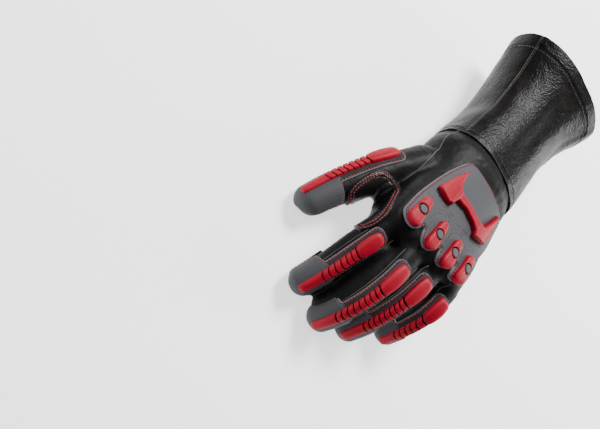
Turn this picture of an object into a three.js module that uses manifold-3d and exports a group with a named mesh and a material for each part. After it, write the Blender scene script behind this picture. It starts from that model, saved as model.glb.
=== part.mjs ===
// A left gauntlet glove for MIG welding, lying palm down with its fingers curled.
// +X runs from the thumb side to the little finger, +Y up the forearm and +Z away from the table.
import * as THREE from "three";
import { mergeVertices } from "three/addons/utils/BufferGeometryUtils.js";
import Module from "manifold-3d";

const wasm = await Module();
wasm.setup();

// Driving dimensions, in millimetres.
const LEATHER = 2; // wall of the hand and the digits
const CUFF_LEATHER = 2.2; // wall of the gauntlet
const HEM_LEATHER = 3.4; // the gauntlet's rim, turned in and sewn
const SEAM_GAP = 0.3; // between two panels that are sewn edge to edge
const SEAT_GAP = 0.7; // between the hand and what is sewn onto it
const LAP_GAP = 0.7; // between the hand's end and the gauntlet round it
const WRIST_WIDTH = 89;
const WRIST_HEIGHT = 63;
const WRIST_RISE = 35.8; // middle of the wrist above the table
const LAP = 8; // length of the hand that is sewn inside the gauntlet
const PALM_LENGTH = 130; // wrist seam to the crotch between the first two fingers
const PALM_WIDTH = 101;
const KNUCKLE_HEIGHT = 37; // thickness of the hand at the knuckles
const KNUCKLE_RISE = 52.3; // middle of the knuckles above the table
const CUFF_LENGTH = 129;
const WAIST_WIDTH = 86; // the gauntlet's narrowest place
const CUFF_WIDTH = 115;
const CUFF_HEIGHT = 74;
const CUFF_RISE = 51.3; // middle of the rim above the table
const CUFF_DRIFT = 4; // of the rim towards the thumb's side
const HEM_WIDTH = 11;
const DENT_DEPTH = 3.2; // the gauntlet's deepest dent
const FINGER_LENGTH = 111; // the middle finger, from the knuckles' front to its tip
const FINGER_THICKNESS = 24.5;
const THUMB_LENGTH = 124;
const THUMB_THICKNESS = 28; // at its root
const WEB_THICKNESS = 21; // of the bridge between the thumb and the first finger
const GUARD_THICKNESS = 1.6; // moulded rubber base on each digit
const GUARD_LENGTH = 84; // on the middle finger, along its back
const GUARD_WIDTH = 15;
const BUMPER_WIDTH = 9.5;
const BUMPER_HEIGHT = 3.6;
const BUMPER_INSET = 3.4; // from the ends of the guard to the ends of the bumper
const PLATE_THICKNESS = 2.4; // moulded plate over the knuckles
const BAR_HEIGHT = 4.6;
const POD_LENGTH = 29;
const POD_WIDTH = 10;
const POD_HEIGHT = 3.6;
const STUD_WIDTH = 7;
const STUD_HEIGHT = 1;
const PATCH_THICKNESS = 1.4; // reinforcing leather

const FINGER_SIDES = 12;
const HOLLOW_SIDES = 8; // of the space inside a digit
const PALM_SIDES = 16;
const CUFF_SIDES = 28;
const WEB_SIDES = 8;
const STUD_SIDES = 12;
const WEB_STEPS = 4;
const SLIVER = 0.2; // narrower facets that a cut leaves are merged into their neighbours
const FINE_STEPS = 60; // steps of a digit's centreline
const DIGIT_STATIONS = [0, 0.22, 0.43, 0.64, 0.78]; // shares along a digit for its rings
const TIP_DEGREES = [0, 38, 72]; // round its tip
const TIP_ROUND = 0.85; // length of the round tip as a share of its half thickness

// The digits. Side, root and rise place a digit's root by shares of the hand's half width, length and knuckle
// height, and size and thick are shares of the named length and thickness. Spread turns a digit away from the
// thumb, roll turns its back towards the thumb's side, and bends are the slopes of its phalanges in degrees.
const FINGERS = [
  { name: "index", side: -0.713, root: 0.862, rise: 0.017, size: 0.919, thick: 1, spread: -3, bends: [27, 24, 38] },
  { name: "middle", side: -0.188, root: 0.877, rise: 0.156, size: 1, thick: 1, spread: 1, bends: [11, 35, 68] },
  { name: "ring", side: 0.297, root: 0.846, rise: 0.169, size: 0.937, thick: 0.96, spread: 1, bends: [13.5, 37.5, 61] },
  { name: "little", side: 0.762, root: 0.818, rise: 0.111, size: 0.766, thick: 0.878, spread: 8, bends: [16, 52, 64] },
];
const THUMB = {
  name: "thumb", side: -0.851, root: 0.338, rise: 0.01, size: 1, thick: 1,
  spread: -25, dive: 12, roll: 57, bends: [0, 8, 15],
};
// Each digit's guard: its length as a share of GUARD_LENGTH, and the ribs of its bumper.
const GUARDS = {
  index: { share: 0.94, ribs: 6 },
  middle: { share: 1, ribs: 7 },
  ring: { share: 0.95, ribs: 7 },
  little: { share: 0.7, ribs: 5 },
  thumb: { share: 1.14, ribs: 7 },
};

// Where each phalanx ends along a digit, and how thick it is there, as shares of its length and width.
const FINGER_BUILD = [
  { along: -0.1, thick: 0.72 },
  { along: 0, thick: 0.86 },
  { along: 0.2, thick: 1 },
  { along: 0.46, thick: 0.95 },
  { along: 0.76, thick: 0.84 },
  { along: 1, thick: 0.76 },
];
const THUMB_BUILD = [
  { along: -0.12, thick: 0.94 },
  { along: 0.05, thick: 1.04 },
  { along: 0.4, thick: 1 },
  { along: 0.55, thick: 0.94 },
  { along: 0.74, thick: 0.9 },
  { along: 1, thick: 0.78 },
];
const FINGER = { length: FINGER_LENGTH, thickness: FINGER_THICKNESS, build: FINGER_BUILD, ends: [0.46, 0.76] };
const THUMB_FORM = { length: THUMB_LENGTH, thickness: THUMB_THICKNESS, build: THUMB_BUILD, ends: [0.4, 0.73] };

// The hand from the wrist seam to the crotches. Along is a share of its length, knuckle how far its size and
// height have gone from the wrist's to the knuckles', and close how much its rounded front end draws in.
const HAND_BUILD = [
  { along: -LAP / PALM_LENGTH, knuckle: 0, close: 0.985 },
  { along: 0, knuckle: 0, close: 1 },
  { along: 0.2, knuckle: 0.08, close: 1 },
  { along: 0.38, knuckle: 0.3, close: 1 },
  { along: 0.56, knuckle: 0.62, close: 1 },
  { along: 0.74, knuckle: 0.9, close: 1 },
  { along: 0.9, knuckle: 1, close: 0.98 },
  { along: 0.955, knuckle: 1, close: 0.86 },
  { along: 0.985, knuckle: 1, close: 0.62 },
  { along: 1, knuckle: 1, close: 0.34 },
];
// The web between the thumb and the first finger: points as shares of the hand's half width, length and
// thickness, between a place along the thumb and one along the finger.
const WEB = [
  { side: -0.93, along: 0.71, drop: 0.45 },
  { side: -0.87, along: 0.84, drop: 0.38 },
];
const WEB_FROM = 0.42;
const WEB_TO = 0.2;
const KNUCKLE_SLANT = 0.36; // how fast the knuckles fall back towards the little finger
const SLANT_START = -0.24; // share of the half width where they begin to
const KNUCKLE_LEAN = 0.05; // drop of the little finger's side

// The gauntlet from the wrist seam to its rim. Waist is how far it has drawn in from the wrist's width, flare
// how far it has opened to the rim's size, lift how far it has risen to the rim's height, and floor how far
// its underside is pressed down to the table.
const CUFF_BUILD = [
  { along: 0, waist: 0, flare: 0, lift: 0, floor: 0.3 },
  { along: 0.08, waist: 0.24, flare: 0, lift: 0, floor: 1 },
  { along: 0.2, waist: 0.58, flare: 0, lift: 0.01, floor: 1 },
  { along: 0.34, waist: 0.88, flare: 0, lift: 0.06, floor: 0.9 },
  { along: 0.5, waist: 1, flare: 0.04, lift: 0.12, floor: 0.85 },
  { along: 0.68, waist: 1, flare: 0.24, lift: 0.32, floor: 0.5 },
  { along: 0.84, waist: 1, flare: 0.6, lift: 0.62, floor: 0.18 },
  { along: 0.92, waist: 1, flare: 0.82, lift: 0.83, floor: 0 },
  { along: 1, waist: 1, flare: 1, lift: 1, floor: 0 },
];
// Dents of the gauntlet: where along it, at which angle round it, how wide both ways and how deep.
const CUFF_DENTS = [
  { along: 0.66, angle: 28, reach: 0.5, spread: 17, deep: 0.8 },
  { along: 0.4, angle: -4, reach: 0.3, spread: 24, deep: 1 },
  { along: 0.36, angle: 176, reach: 0.2, spread: 24, deep: 0.6 },
];
const THUMB_SEAM = 152; // angle round the gauntlet of the seam on the thumb's side
const LITTLE_SEAM = -24;
const WRIST_POWER = 2.2; // 2 is an ellipse, more is boxier
const KNUCKLE_POWER = 2.65;
const FINGER_POWER = 2.3;

// The outline of a digit's guard, rear end first: half widths as shares of GUARD_WIDTH / 2.
const GUARD_OUTLINE = [
  { along: 0, half: 0.4 },
  { along: 0.025, half: 0.8 },
  { along: 0.07, half: 1 },
  { along: 0.42, half: 0.98 },
  { along: 0.66, half: 0.96 },
  { along: 0.69, half: 1.75 },
  { along: 0.86, half: 1.75 },
  { along: 1, half: 1.25 },
];
const GUARD_COLUMNS = [0, 0.11, 0.305, 0.5, 0.695, 0.89, 1]; // across it, in line with the facets below
const PAD_SHARE = 0.33; // of the bumper: its smooth rear pad
const BAR_SHARE = 0.25; // of the bumper: its smooth end bar
const GROOVE_SHARE = 0.24; // of a rib's pitch
const GROOVE_DEPTH = 0.55; // of the bumper's height

// The knuckle plate: its sides at stations along the hand, as shares of the half width, and the valleys
// between the four lobes of its front.
const PLATE_SIDES = [
  { along: 0.165, thumb: -0.48, little: 0.72 },
  { along: 0.2, thumb: -0.58, little: 0.83 },
  { along: 0.38, thumb: -0.735, little: 0.885 },
  { along: 0.56, thumb: -0.82, little: 0.82 },
  { along: 0.74, thumb: -0.875, little: 0.75 },
  { along: 0.86, thumb: -0.885, little: 0.76 },
];
const PLATE_FRONT = 0.862;
const PLATE_COLUMNS = 20;
// The lobes: where each stands across the hand, its half width, its front end along the hand, and how far
// its pod turns towards the little finger.
const LOBES = [
  { name: "index", across: -0.69, half: 0.2, front: 0.938, splay: 0 },
  { name: "middle", across: -0.23, half: 0.215, front: 0.94, splay: 0.04 },
  { name: "ring", across: 0.2, half: 0.19, front: 0.954, splay: 0.07 },
  { name: "little", across: 0.59, half: 0.17, front: 0.958, splay: 0.09 },
];
const POD_SETBACK = 0.123; // of the hand's length, from a lobe's front end to the middle of its pod
// The raised bar: its rear and front edges along the hand at places across it, and its height.
const BAR_OUTLINE = [
  { across: -0.71, rear: 0.55, front: 0.585, high: 0.85 },
  { across: -0.62, rear: 0.42, front: 0.6, high: 1 },
  { across: -0.53, rear: 0.31, front: 0.605, high: 0.9 },
  { across: -0.47, rear: 0.265, front: 0.605, high: 0.8 },
  { across: -0.44, rear: 0.42, front: 0.604, high: 1 },
  { across: -0.39, rear: 0.448, front: 0.595, high: 1 },
  { across: -0.34, rear: 0.446, front: 0.52, high: 0.85 },
  { across: -0.13, rear: 0.443, front: 0.508, high: 0.8 },
  { across: 0.14, rear: 0.46, front: 0.533, high: 0.8 },
  { across: 0.25, rear: 0.465, front: 0.56, high: 0.85 },
  { across: 0.285, rear: 0.466, front: 0.61, high: 1 },
  { across: 0.36, rear: 0.463, front: 0.603, high: 1 },
  { across: 0.45, rear: 0.345, front: 0.59, high: 0.95 },
  { across: 0.53, rear: 0.23, front: 0.577, high: 0.8 },
  { across: 0.575, rear: 0.29, front: 0.567, high: 0.85 },
  { across: 0.6, rear: 0.4, front: 0.55, high: 0.75 },
];

// Reinforcing patches under the palm: edges as shares of the half width at stations along the hand.
const PALM_PATCHES = {
  heel_patch: [
    { along: 0.14, thumb: 0.3, little: 0.5 },
    { along: 0.2, thumb: 0.24, little: 0.72 },
    { along: 0.32, thumb: 0.2, little: 0.86 },
    { along: 0.46, thumb: 0.12, little: 0.9 },
    { along: 0.54, thumb: 0.04, little: 0.84 },
    { along: 0.6, thumb: -0.06, little: 0.5 },
  ],
  crescent_patch: [
    { along: 0.16, thumb: 0.02, little: 0.14 },
    { along: 0.22, thumb: -0.06, little: 0.16 },
    { along: 0.34, thumb: -0.16, little: 0.08 },
    { along: 0.46, thumb: -0.3, little: -0.04 },
    { along: 0.58, thumb: -0.52, little: -0.2 },
    { along: 0.66, thumb: -0.66, little: -0.42 },
  ],
  palm_patch: [
    { along: 0.66, thumb: -0.4, little: 0.7 },
    { along: 0.7, thumb: -0.56, little: 0.78 },
    { along: 0.78, thumb: -0.6, little: 0.8 },
    { along: 0.86, thumb: -0.58, little: 0.78 },
    { along: 0.9, thumb: -0.5, little: 0.7 },
  ],
};
const TIP_PATCH = { start: 0.66, end: 0.97, half: 64 }; // shares along a finger, and degrees round it
const CUFF_PATCH = { along: 0.54, reach: 0.36, angle: -20, half: 24 };
const GUARD_END = 0.985; // share of a digit where its guard ends, just short of its tip

const COLOURS = { leather: 0x161517, cuff: 0x1d1a19, patch: 0x131214, guard: 0x55585e, bumper: 0xc21f33 };

const turn = THREE.MathUtils.degToRad;
const mix = THREE.MathUtils.lerp;

// The value of a named column of a table at a place between its rows.
function read(table, key, place, column) {
  const last = table.length - 1;
  if (place <= table[0][key]) return table[0][column];
  for (let i = 1; i <= last; i++) {
    if (place > table[i][key]) continue;
    const share = (place - table[i - 1][key]) / (table[i][key] - table[i - 1][key]);
    return mix(table[i - 1][column], table[i][column], share);
  }
  return table[last][column];
}

// A closed body from rings of equally many points, with a fan over each end.
function loft(rings) {
  const count = rings[0].length;
  const points = rings.flat();
  const faces = [];
  const at = (row, column) => row * count + (column % count);
  for (let row = 0; row + 1 < rings.length; row++) {
    for (let i = 0; i < count; i++) {
      faces.push(at(row, i), at(row, i + 1), at(row + 1, i + 1));
      faces.push(at(row, i), at(row + 1, i + 1), at(row + 1, i));
    }
  }
  for (const [row, flip] of [[0, true], [rings.length - 1, false]]) {
    const middle = rings[row].reduce((sum, p) => sum.add(p), new THREE.Vector3()).divideScalar(count);
    points.push(middle);
    for (let i = 0; i < count; i++) {
      const pair = flip ? [at(row, i + 1), at(row, i)] : [at(row, i), at(row, i + 1)];
      faces.push(...pair, points.length - 1);
    }
  }
  return closed(points, faces);
}

// A thin closed body between two grids of points, lower first, both listed row by row.
function slab(lower, upper) {
  const rows = lower.length;
  const columns = lower[0].length;
  const rings = lower.map((row, i) => [...row, ...[...upper[i]].reverse()]);
  const points = rings.flat();
  const faces = [];
  const count = 2 * columns;
  const at = (row, i) => row * count + (i % count);
  for (let row = 0; row + 1 < rows; row++) {
    for (let i = 0; i < count; i++) {
      faces.push(at(row, i), at(row, i + 1), at(row + 1, i + 1));
      faces.push(at(row, i), at(row + 1, i + 1), at(row + 1, i));
    }
  }
  for (let i = 0; i + 1 < columns; i++) {
    const [a, b, c, d] = [i, i + 1, count - 2 - i, count - 1 - i];
    faces.push(at(0, b), at(0, a), at(0, c), at(0, a), at(0, d), at(0, c));
    const end = rows - 1;
    faces.push(at(end, a), at(end, b), at(end, c), at(end, a), at(end, c), at(end, d));
  }
  return closed(points, faces);
}

// A geometry of points and faces, turned inside out if its faces point inwards.
function closed(points, faces) {
  let volume = 0;
  for (let i = 0; i < faces.length; i += 3) {
    const [a, b, c] = [points[faces[i]], points[faces[i + 1]], points[faces[i + 2]]];
    volume += a.dot(new THREE.Vector3().crossVectors(b, c));
  }
  if (volume < 0) faces.reverse();
  const geometry = new THREE.BufferGeometry().setFromPoints(points);
  geometry.setIndex(faces);
  return geometry;
}

function toSolid(geometry) {
  const bare = geometry.clone();
  for (const name of ["normal", "uv"]) bare.deleteAttribute(name);
  const merged = mergeVertices(bare, 1e-4);
  return new wasm.Manifold(
    new wasm.Mesh({
      numProp: 3,
      vertProperties: merged.attributes.position.array,
      triVerts: new Uint32Array(merged.index.array),
    }),
  );
}

// The largest body of a solid, without the slivers of its cuts, as a geometry.
function toGeometry(solid) {
  const bodies = solid.simplify(SLIVER).decompose().sort((a, b) => b.volume() - a.volume());
  const mesh = bodies[0].getMesh();
  const geometry = new THREE.BufferGeometry();
  geometry.setAttribute("position", new THREE.BufferAttribute(mesh.vertProperties, 3));
  geometry.setIndex(new THREE.BufferAttribute(mesh.triVerts, 1));
  return geometry;
}

const join = (solids) => solids.reduce((sum, next) => sum.add(next));

// A point of a rounded section: angle 0 is its +X side and 90 its back.
function onSection(frame, degrees, grow) {
  const reach = 2 / frame.power;
  const round = (value) => Math.sign(value) * Math.abs(value) ** reach;
  const across = round(Math.cos(turn(degrees))) * (frame.half + grow);
  const rise = Math.sin(turn(degrees));
  const height = round(rise) * ((rise > 0 ? frame.top : frame.bottom) + grow);
  return frame.centre.clone().addScaledVector(frame.side, across).addScaledVector(frame.up, height);
}

// The angles of a ring of points, or of the back or palm half of one.
function angles(sides, half) {
  if (half === "whole") return Array.from({ length: sides }, (_, i) => (360 * i) / sides);
  const start = half === "back" ? 0 : 180;
  return Array.from({ length: sides / 2 + 1 }, (_, i) => start + (360 * i) / sides);
}

// A ring of a section. A palm half's two ends stop just short of the back half.
function ring(frame, sides, half, grow) {
  const points = angles(sides, half).map((degrees) => onSection(frame, degrees, grow));
  if (half === "palm") {
    for (const end of [points[0], points.at(-1)]) end.addScaledVector(frame.up, -SEAM_GAP);
  }
  return points;
}

// The middle of a digit's root, inside the hand.
function rootOf(row) {
  const frame = handFrame(row.root);
  const across = (row.side * PALM_WIDTH) / 2;
  const point = frame.centre.addScaledVector(frame.side, across);
  return slant(point.addScaledVector(frame.up, row.rise * KNUCKLE_HEIGHT), frame.knuckle);
}

// A digit: its centreline follows the bends of its phalanges, and its frames carry the section's size.
function makeDigit(row, { length: longest, thickness, build, ends }) {
  const length = row.size * longest;
  const start = build[0].along;
  const step = (length * (1 - start)) / FINE_STEPS;
  const dive = turn(row.dive ?? 0);
  const spread = turn(row.spread);
  const ahead = new THREE.Vector3(Math.sin(spread) * Math.cos(dive), -Math.cos(spread) * Math.cos(dive), -Math.sin(dive));
  const level = new THREE.Vector3().crossVectors(new THREE.Vector3(0, 0, 1), ahead).normalize();
  const back = new THREE.Vector3().crossVectors(ahead, level).normalize();
  back.applyAxisAngle(ahead, turn(row.roll ?? 0));
  const side = new THREE.Vector3().crossVectors(back, ahead).negate();
  // The bend at a place along the digit, easing from one phalanx to the next.
  const knots = [
    { along: 0, bend: 0.8 * row.bends[0] },
    { along: 0.75 * ends[0], bend: row.bends[0] },
    { along: (ends[0] + ends[1]) / 2, bend: row.bends[1] },
    { along: (ends[1] + 1) / 2, bend: row.bends[2] },
    { along: 1, bend: row.bends[2] + 2 },
  ];
  const frames = [];
  const centre = rootOf(row).addScaledVector(ahead, start * length);
  for (let i = 0; i <= FINE_STEPS; i++) {
    const along = start + (i * step) / length;
    const bend = turn(read(knots, "along", along, "bend") * (along < 0 ? 0 : 1));
    const forward = ahead.clone().multiplyScalar(Math.cos(bend)).addScaledVector(back, -Math.sin(bend));
    const up = back.clone().multiplyScalar(Math.cos(bend)).addScaledVector(ahead, Math.sin(bend));
    const half = ((row.thick * thickness) / 2) * read(build, "along", along, "thick");
    frames.push({ along, centre: centre.clone(), forward, side, up, half, top: half, bottom: half, power: FINGER_POWER });
    centre.addScaledVector(forward, step);
  }
  return { name: row.name, length, frames, start };
}

// A digit's frame at a share of its length, with its section drawn in where the tip is round.
function digitFrame(digit, along, inset = 0) {
  const { length, frames, start } = digit;
  const place = ((along - start) / (1 - start)) * FINE_STEPS;
  const low = Math.min(Math.floor(place), FINE_STEPS - 1);
  const [a, b] = [frames[low], frames[low + 1]];
  const share = place - low;
  const half = mix(a.half, b.half, share);
  const tipRadius = TIP_ROUND * frames.at(-1).half - inset;
  const left = Math.max(0, (1 - along) * length - inset);
  const into = Math.max(0, 1 - left / tipRadius);
  const close = Math.sqrt(Math.max(0, 1 - into * into));
  const size = Math.max(half * close, 0.12 * half);
  return {
    centre: a.centre.clone().lerp(b.centre, share),
    forward: a.forward, side: a.side, up: a.up.clone().lerp(b.up, share).normalize(),
    half: size, top: size, bottom: size, power: a.power,
  };
}

// Shares along a digit for its rings: even steps, then closer ones round the tip.
function digitStations(digit, inset) {
  const { length, frames, start } = digit;
  const tipRadius = TIP_ROUND * frames.at(-1).half - inset;
  const end = 1 - inset / length;
  const tipStart = end - tipRadius / length;
  const body = DIGIT_STATIONS.filter((along) => along < tipStart - 0.05);
  const tip = TIP_DEGREES.map((degrees) => mix(tipStart, end, Math.sin(turn(degrees))));
  return [start, ...body, ...tip];
}

// A digit's solid, grown all over. Its root reaches back with it, except that a hollow's stays inside the hand.
function digitSolid(digit, half, grow) {
  const rings = digitStations(digit, -grow).map((along, i) => {
    const frame = digitFrame(digit, along, -grow);
    if (i === 0) frame.centre.addScaledVector(frame.forward, -Math.abs(grow));
    return ring(frame, grow < 0 ? HOLLOW_SIDES : FINGER_SIDES, half, grow);
  });
  return toSolid(loft(rings));
}

// The hand's frame at a share of its length.
function handFrame(along) {
  const knuckle = read(HAND_BUILD, "along", along, "knuckle");
  const close = read(HAND_BUILD, "along", along, "close");
  const height = (mix(WRIST_HEIGHT, KNUCKLE_HEIGHT, knuckle) / 2) * close;
  return {
    centre: new THREE.Vector3(0, -along * PALM_LENGTH, mix(WRIST_RISE, KNUCKLE_RISE, knuckle)),
    side: new THREE.Vector3(1, 0, -KNUCKLE_LEAN * knuckle),
    up: new THREE.Vector3(0, 0, 1),
    half: (mix(WRIST_WIDTH, PALM_WIDTH, knuckle) / 2) * mix(0.6, 1, close),
    top: height,
    bottom: height,
    power: mix(WRIST_POWER, KNUCKLE_POWER, knuckle),
    knuckle,
  };
}

// The knuckles fall back towards the little finger, and the whole hand with them.
function slant(point, knuckle) {
  const past = Math.max(0, point.x - SLANT_START * (PALM_WIDTH / 2));
  point.y += knuckle * KNUCKLE_SLANT * past;
  return point;
}

// The hand's solid, grown all over. Its wrist end always reaches on, so that a hollow opens there.
function handSolid(half, grow) {
  const rings = HAND_BUILD.map(({ along }, i) => {
    const frame = handFrame(along);
    frame.centre.y += i === 0 ? Math.abs(grow) : -grow * Math.max(0, along);
    return ring(frame, PALM_SIDES, half, grow).map((point) => slant(point, frame.knuckle));
  });
  return toSolid(loft(rings));
}

// A point on the back or palm of the hand, from a share along it and a share of its half width.
function onHand(along, across, face, grow) {
  const frame = handFrame(along);
  const x = across * (frame.half + grow);
  const rest = Math.max(0, 1 - Math.abs(across) ** frame.power);
  const height = (frame.top + grow) * rest ** (1 / frame.power) * face;
  const point = frame.centre.clone().addScaledVector(frame.side, x).addScaledVector(frame.up, height);
  return slant(point, frame.knuckle);
}

// The gauntlet's skin at a share of its length and an angle round it, outwards by grow.
function onCuff(along, degrees, grow) {
  const [waist, flare, lift, floor] = ["waist", "flare", "lift", "floor"].map((column) =>
    read(CUFF_BUILD, "along", along, column),
  );
  const lapped = LAP_GAP + CUFF_LEATHER; // the gauntlet's end lies outside the hand's
  const rise = mix(WRIST_RISE, CUFF_RISE, lift);
  const height = mix(WRIST_HEIGHT / 2 + lapped, CUFF_HEIGHT / 2, flare);
  const frame = {
    centre: new THREE.Vector3(-CUFF_DRIFT * flare, along * CUFF_LENGTH, rise),
    side: new THREE.Vector3(1, 0, 0),
    up: new THREE.Vector3(0, 0, 1),
    half: mix(mix(WRIST_WIDTH / 2 + lapped, WAIST_WIDTH / 2, waist), CUFF_WIDTH / 2, flare),
    top: height,
    bottom: mix(height, rise + CUFF_LEATHER, floor),
    power: WRIST_POWER,
  };
  let dent = 0;
  for (const row of CUFF_DENTS) {
    const around = (((degrees - row.angle + 540) % 360) - 180) / row.spread;
    const down = (along - row.along) / row.reach;
    dent += DENT_DEPTH * row.deep * Math.exp(-around * around - 4 * down * down);
  }
  const point = onSection(frame, degrees, grow - dent);
  point.z = Math.max(point.z, -grow); // the underside lies flat on the table
  return point;
}

// One of the gauntlet's two panels, between two seams.
function cuffPanel(from, to) {
  const margin = THREE.MathUtils.radToDeg(SEAM_GAP / WAIST_WIDTH);
  const columns = Math.round((CUFF_SIDES * (to - from)) / 360);
  const rows = CUFF_BUILD.map((row) => row.along);
  const wall = (along) => (along > 1 - HEM_WIDTH / CUFF_LENGTH ? HEM_LEATHER : CUFF_LEATHER);
  const grid = (inner) =>
    rows.map((along) =>
      Array.from({ length: columns + 1 }, (_, i) =>
        onCuff(along, mix(from + margin, to - margin, i / columns), inner ? -wall(along) : 0),
      ),
    );
  return slab(grid(true), grid(false));
}

// The rows of a table, with more where the skin below has its own, so that both bend at the same places.
function alignRows(table, stations) {
  const keys = table.map((row) => row.along);
  const extra = stations.filter((place) => keys.every((key) => Math.abs(key - place) > 0.012));
  const inside = extra.filter((place) => place > keys[0] && place < keys.at(-1));
  const columns = Object.keys(table[0]).filter((column) => column !== "along");
  return [...keys, ...inside]
    .sort((a, b) => a - b)
    .map((along) => Object.fromEntries([["along", along], ...columns.map((name) => [name, read(table, "along", along, name)])]));
}

const evenly = (columns) => Array.from({ length: columns + 1 }, (_, i) => i / columns);

// A patch on the skin: rows of places that a function finds from a row, a share across it and a height.
function patch(rows, shares, place, lift, thickness) {
  const grid = (high) => rows.map((row) => shares.map((share) => place(row, share, lift + high * (row.high ?? 1))));
  return slab(grid(0), grid(thickness));
}

const group = new THREE.Group();

function addPiece(name, geometry, colour, roughness) {
  const material = new THREE.MeshStandardMaterial({ color: colour, roughness, metalness: 0 });
  const mesh = new THREE.Mesh(geometry, material);
  mesh.name = name;
  group.add(mesh);
}

const fingers = FINGERS.map((row) => makeDigit(row, FINGER));
const thumb = makeDigit(THUMB, THUMB_FORM);

// The web between the thumb and the first finger, a tube that runs on from inside one to inside the other.
function webSolid(grow) {
  const ends = [digitFrame(thumb, WEB_FROM), digitFrame(fingers[0], WEB_TO)];
  const points = WEB.map(({ side, along, drop }) =>
    new THREE.Vector3((side * PALM_WIDTH) / 2, -along * PALM_LENGTH, KNUCKLE_RISE - drop * KNUCKLE_HEIGHT),
  );
  const curve = new THREE.CatmullRomCurve3([ends[0].centre, ...points, ends[1].centre]);
  const rings = Array.from({ length: WEB_STEPS + 1 }, (_, i) => {
    const share = i / WEB_STEPS;
    const forward = curve.getTangent(share);
    const side = new THREE.Vector3().crossVectors(new THREE.Vector3(0, 0, 1), forward).normalize();
    const up = new THREE.Vector3().crossVectors(forward, side).normalize();
    const half = (WEB_THICKNESS / 2) * mix(1, 0.9, share);
    const frame = { centre: curve.getPoint(share), side, up, half, top: half, bottom: half, power: 2 };
    return ring(frame, WEB_SIDES, "whole", grow);
  });
  return toSolid(loft(rings));
}

// The leather shell: everything outside minus everything inside. The hand and each finger are parted along their
// sides into a back and a palm half, and each finger is cut clear of the hand and of the finger before it.
const hollow = join([
  handSolid("whole", -LEATHER),
  ...[...fingers, thumb].map((digit) => digitSolid(digit, "whole", -LEATHER)),
  webSolid(-LEATHER),
]);

function addHalves(backName, palmName, solidOf, room) {
  const half = (face) => toGeometry(room.reduce((solid, other) => solid.subtract(other), solidOf(face)));
  addPiece(backName, half("back"), COLOURS.leather, 0.55);
  addPiece(palmName, half("palm"), COLOURS.leather, 0.5);
}

const handRoom = handSolid("whole", SEAM_GAP);
addHalves("hand_back", "palm_shell", (face) => handSolid(face, 0), [hollow]);
fingers.forEach((finger, i) => {
  const before = fingers.slice(0, i).map((other) => digitSolid(other, "whole", SEAM_GAP));
  const room = [hollow, handRoom, ...before];
  addHalves(`${finger.name}_back`, `${finger.name}_palm`, (face) => digitSolid(finger, face, 0), room);
});
const fingerRoom = join([handRoom, digitSolid(fingers[0], "whole", SEAM_GAP)]);
const thumbShell = digitSolid(thumb, "whole", 0).subtract(hollow).subtract(fingerRoom);
const crotchShell = webSolid(0).subtract(hollow).subtract(fingerRoom).subtract(digitSolid(thumb, "whole", SEAM_GAP));
addPiece("thumb_shell", toGeometry(thumbShell), COLOURS.leather, 0.55);
addPiece("crotch_shell", toGeometry(crotchShell), COLOURS.patch, 0.5);

addPiece("cuff_back", cuffPanel(LITTLE_SEAM, THUMB_SEAM), COLOURS.cuff, 0.45);
addPiece("cuff_palm", cuffPanel(THUMB_SEAM, LITTLE_SEAM + 360), COLOURS.cuff, 0.5);

// The oval patch over the seam on the little finger's side.
function cuffPatch() {
  const { along, reach, angle, half } = CUFF_PATCH;
  const ends = [-0.96, -0.8, -0.45, 0, 0.45, 0.8, 0.96].map((place) => ({ along: along + place * reach }));
  const place = (row, share, grow) => {
    const wide = half * Math.sqrt(1 - ((row.along - along) / reach) ** 2);
    return onCuff(row.along, angle + mix(-wide, wide, share), grow);
  };
  return patch(alignRows(ends, CUFF_BUILD.map((row) => row.along)), evenly(4), place, SEAT_GAP, PATCH_THICKNESS);
}
addPiece("cuff_patch", cuffPatch(), COLOURS.patch, 0.5);

// Where a digit's guard starts and how long it is, as shares of the digit.
function guardSpan(digit) {
  const length = (GUARD_LENGTH * GUARDS[digit.name].share) / digit.length;
  return { start: GUARD_END - length, length };
}

// A point on the back of a digit, from a share along its guard and a distance across it.
function onGuard(digit, share, across, grow) {
  const { start, length } = guardSpan(digit);
  const along = start + share * length;
  const wide = digitFrame(digit, Math.min(along, 0.9)).half;
  return onSection(digitFrame(digit, along), 90 - THREE.MathUtils.radToDeg(across / wide), grow);
}

function guardGeometry(digit) {
  const { start, length } = guardSpan(digit);
  const stations = digitStations(digit, 0).map((along) => (along - start) / length);
  const place = (row, share, grow) => onGuard(digit, row.along, mix(-1, 1, share) * row.half * (GUARD_WIDTH / 2), grow);
  return patch(alignRows(GUARD_OUTLINE, stations), GUARD_COLUMNS, place, SEAT_GAP, GUARD_THICKNESS);
}

// The rows of a bumper: a share along the guard, its height and its width there.
function bumperRows(ribs) {
  const length = 1 - BUMPER_INSET / GUARD_LENGTH;
  const rows = [
    { at: 0, high: 0.3, wide: 0.55 },
    { at: 0.05, high: 0.8, wide: 0.9 },
    { at: 0.16, high: 1, wide: 1 },
    { at: PAD_SHARE, high: 0.92, wide: 0.92 },
  ];
  const pitch = (1 - PAD_SHARE - BAR_SHARE) / ribs;
  for (let rib = 0; rib < ribs; rib++) {
    const start = PAD_SHARE + rib * pitch;
    const size = mix(0.9, 0.72, rib / ribs);
    rows.push({ at: start + 0.3 * GROOVE_SHARE * pitch, high: size * (1 - GROOVE_DEPTH), wide: size * 0.94 });
    rows.push({ at: start + GROOVE_SHARE * pitch, high: size, wide: size });
    rows.push({ at: start + pitch, high: size, wide: size });
  }
  rows.push({ at: 1 - BAR_SHARE + 0.02, high: 0.5, wide: 0.64 });
  rows.push({ at: 1 - 0.1 * BAR_SHARE, high: 0.45, wide: 0.6 });
  rows.push({ at: 1, high: 0.2, wide: 0.4 });
  return rows.map((row) => ({ ...row, at: mix(BUMPER_INSET / GUARD_LENGTH, length, row.at) }));
}

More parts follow.
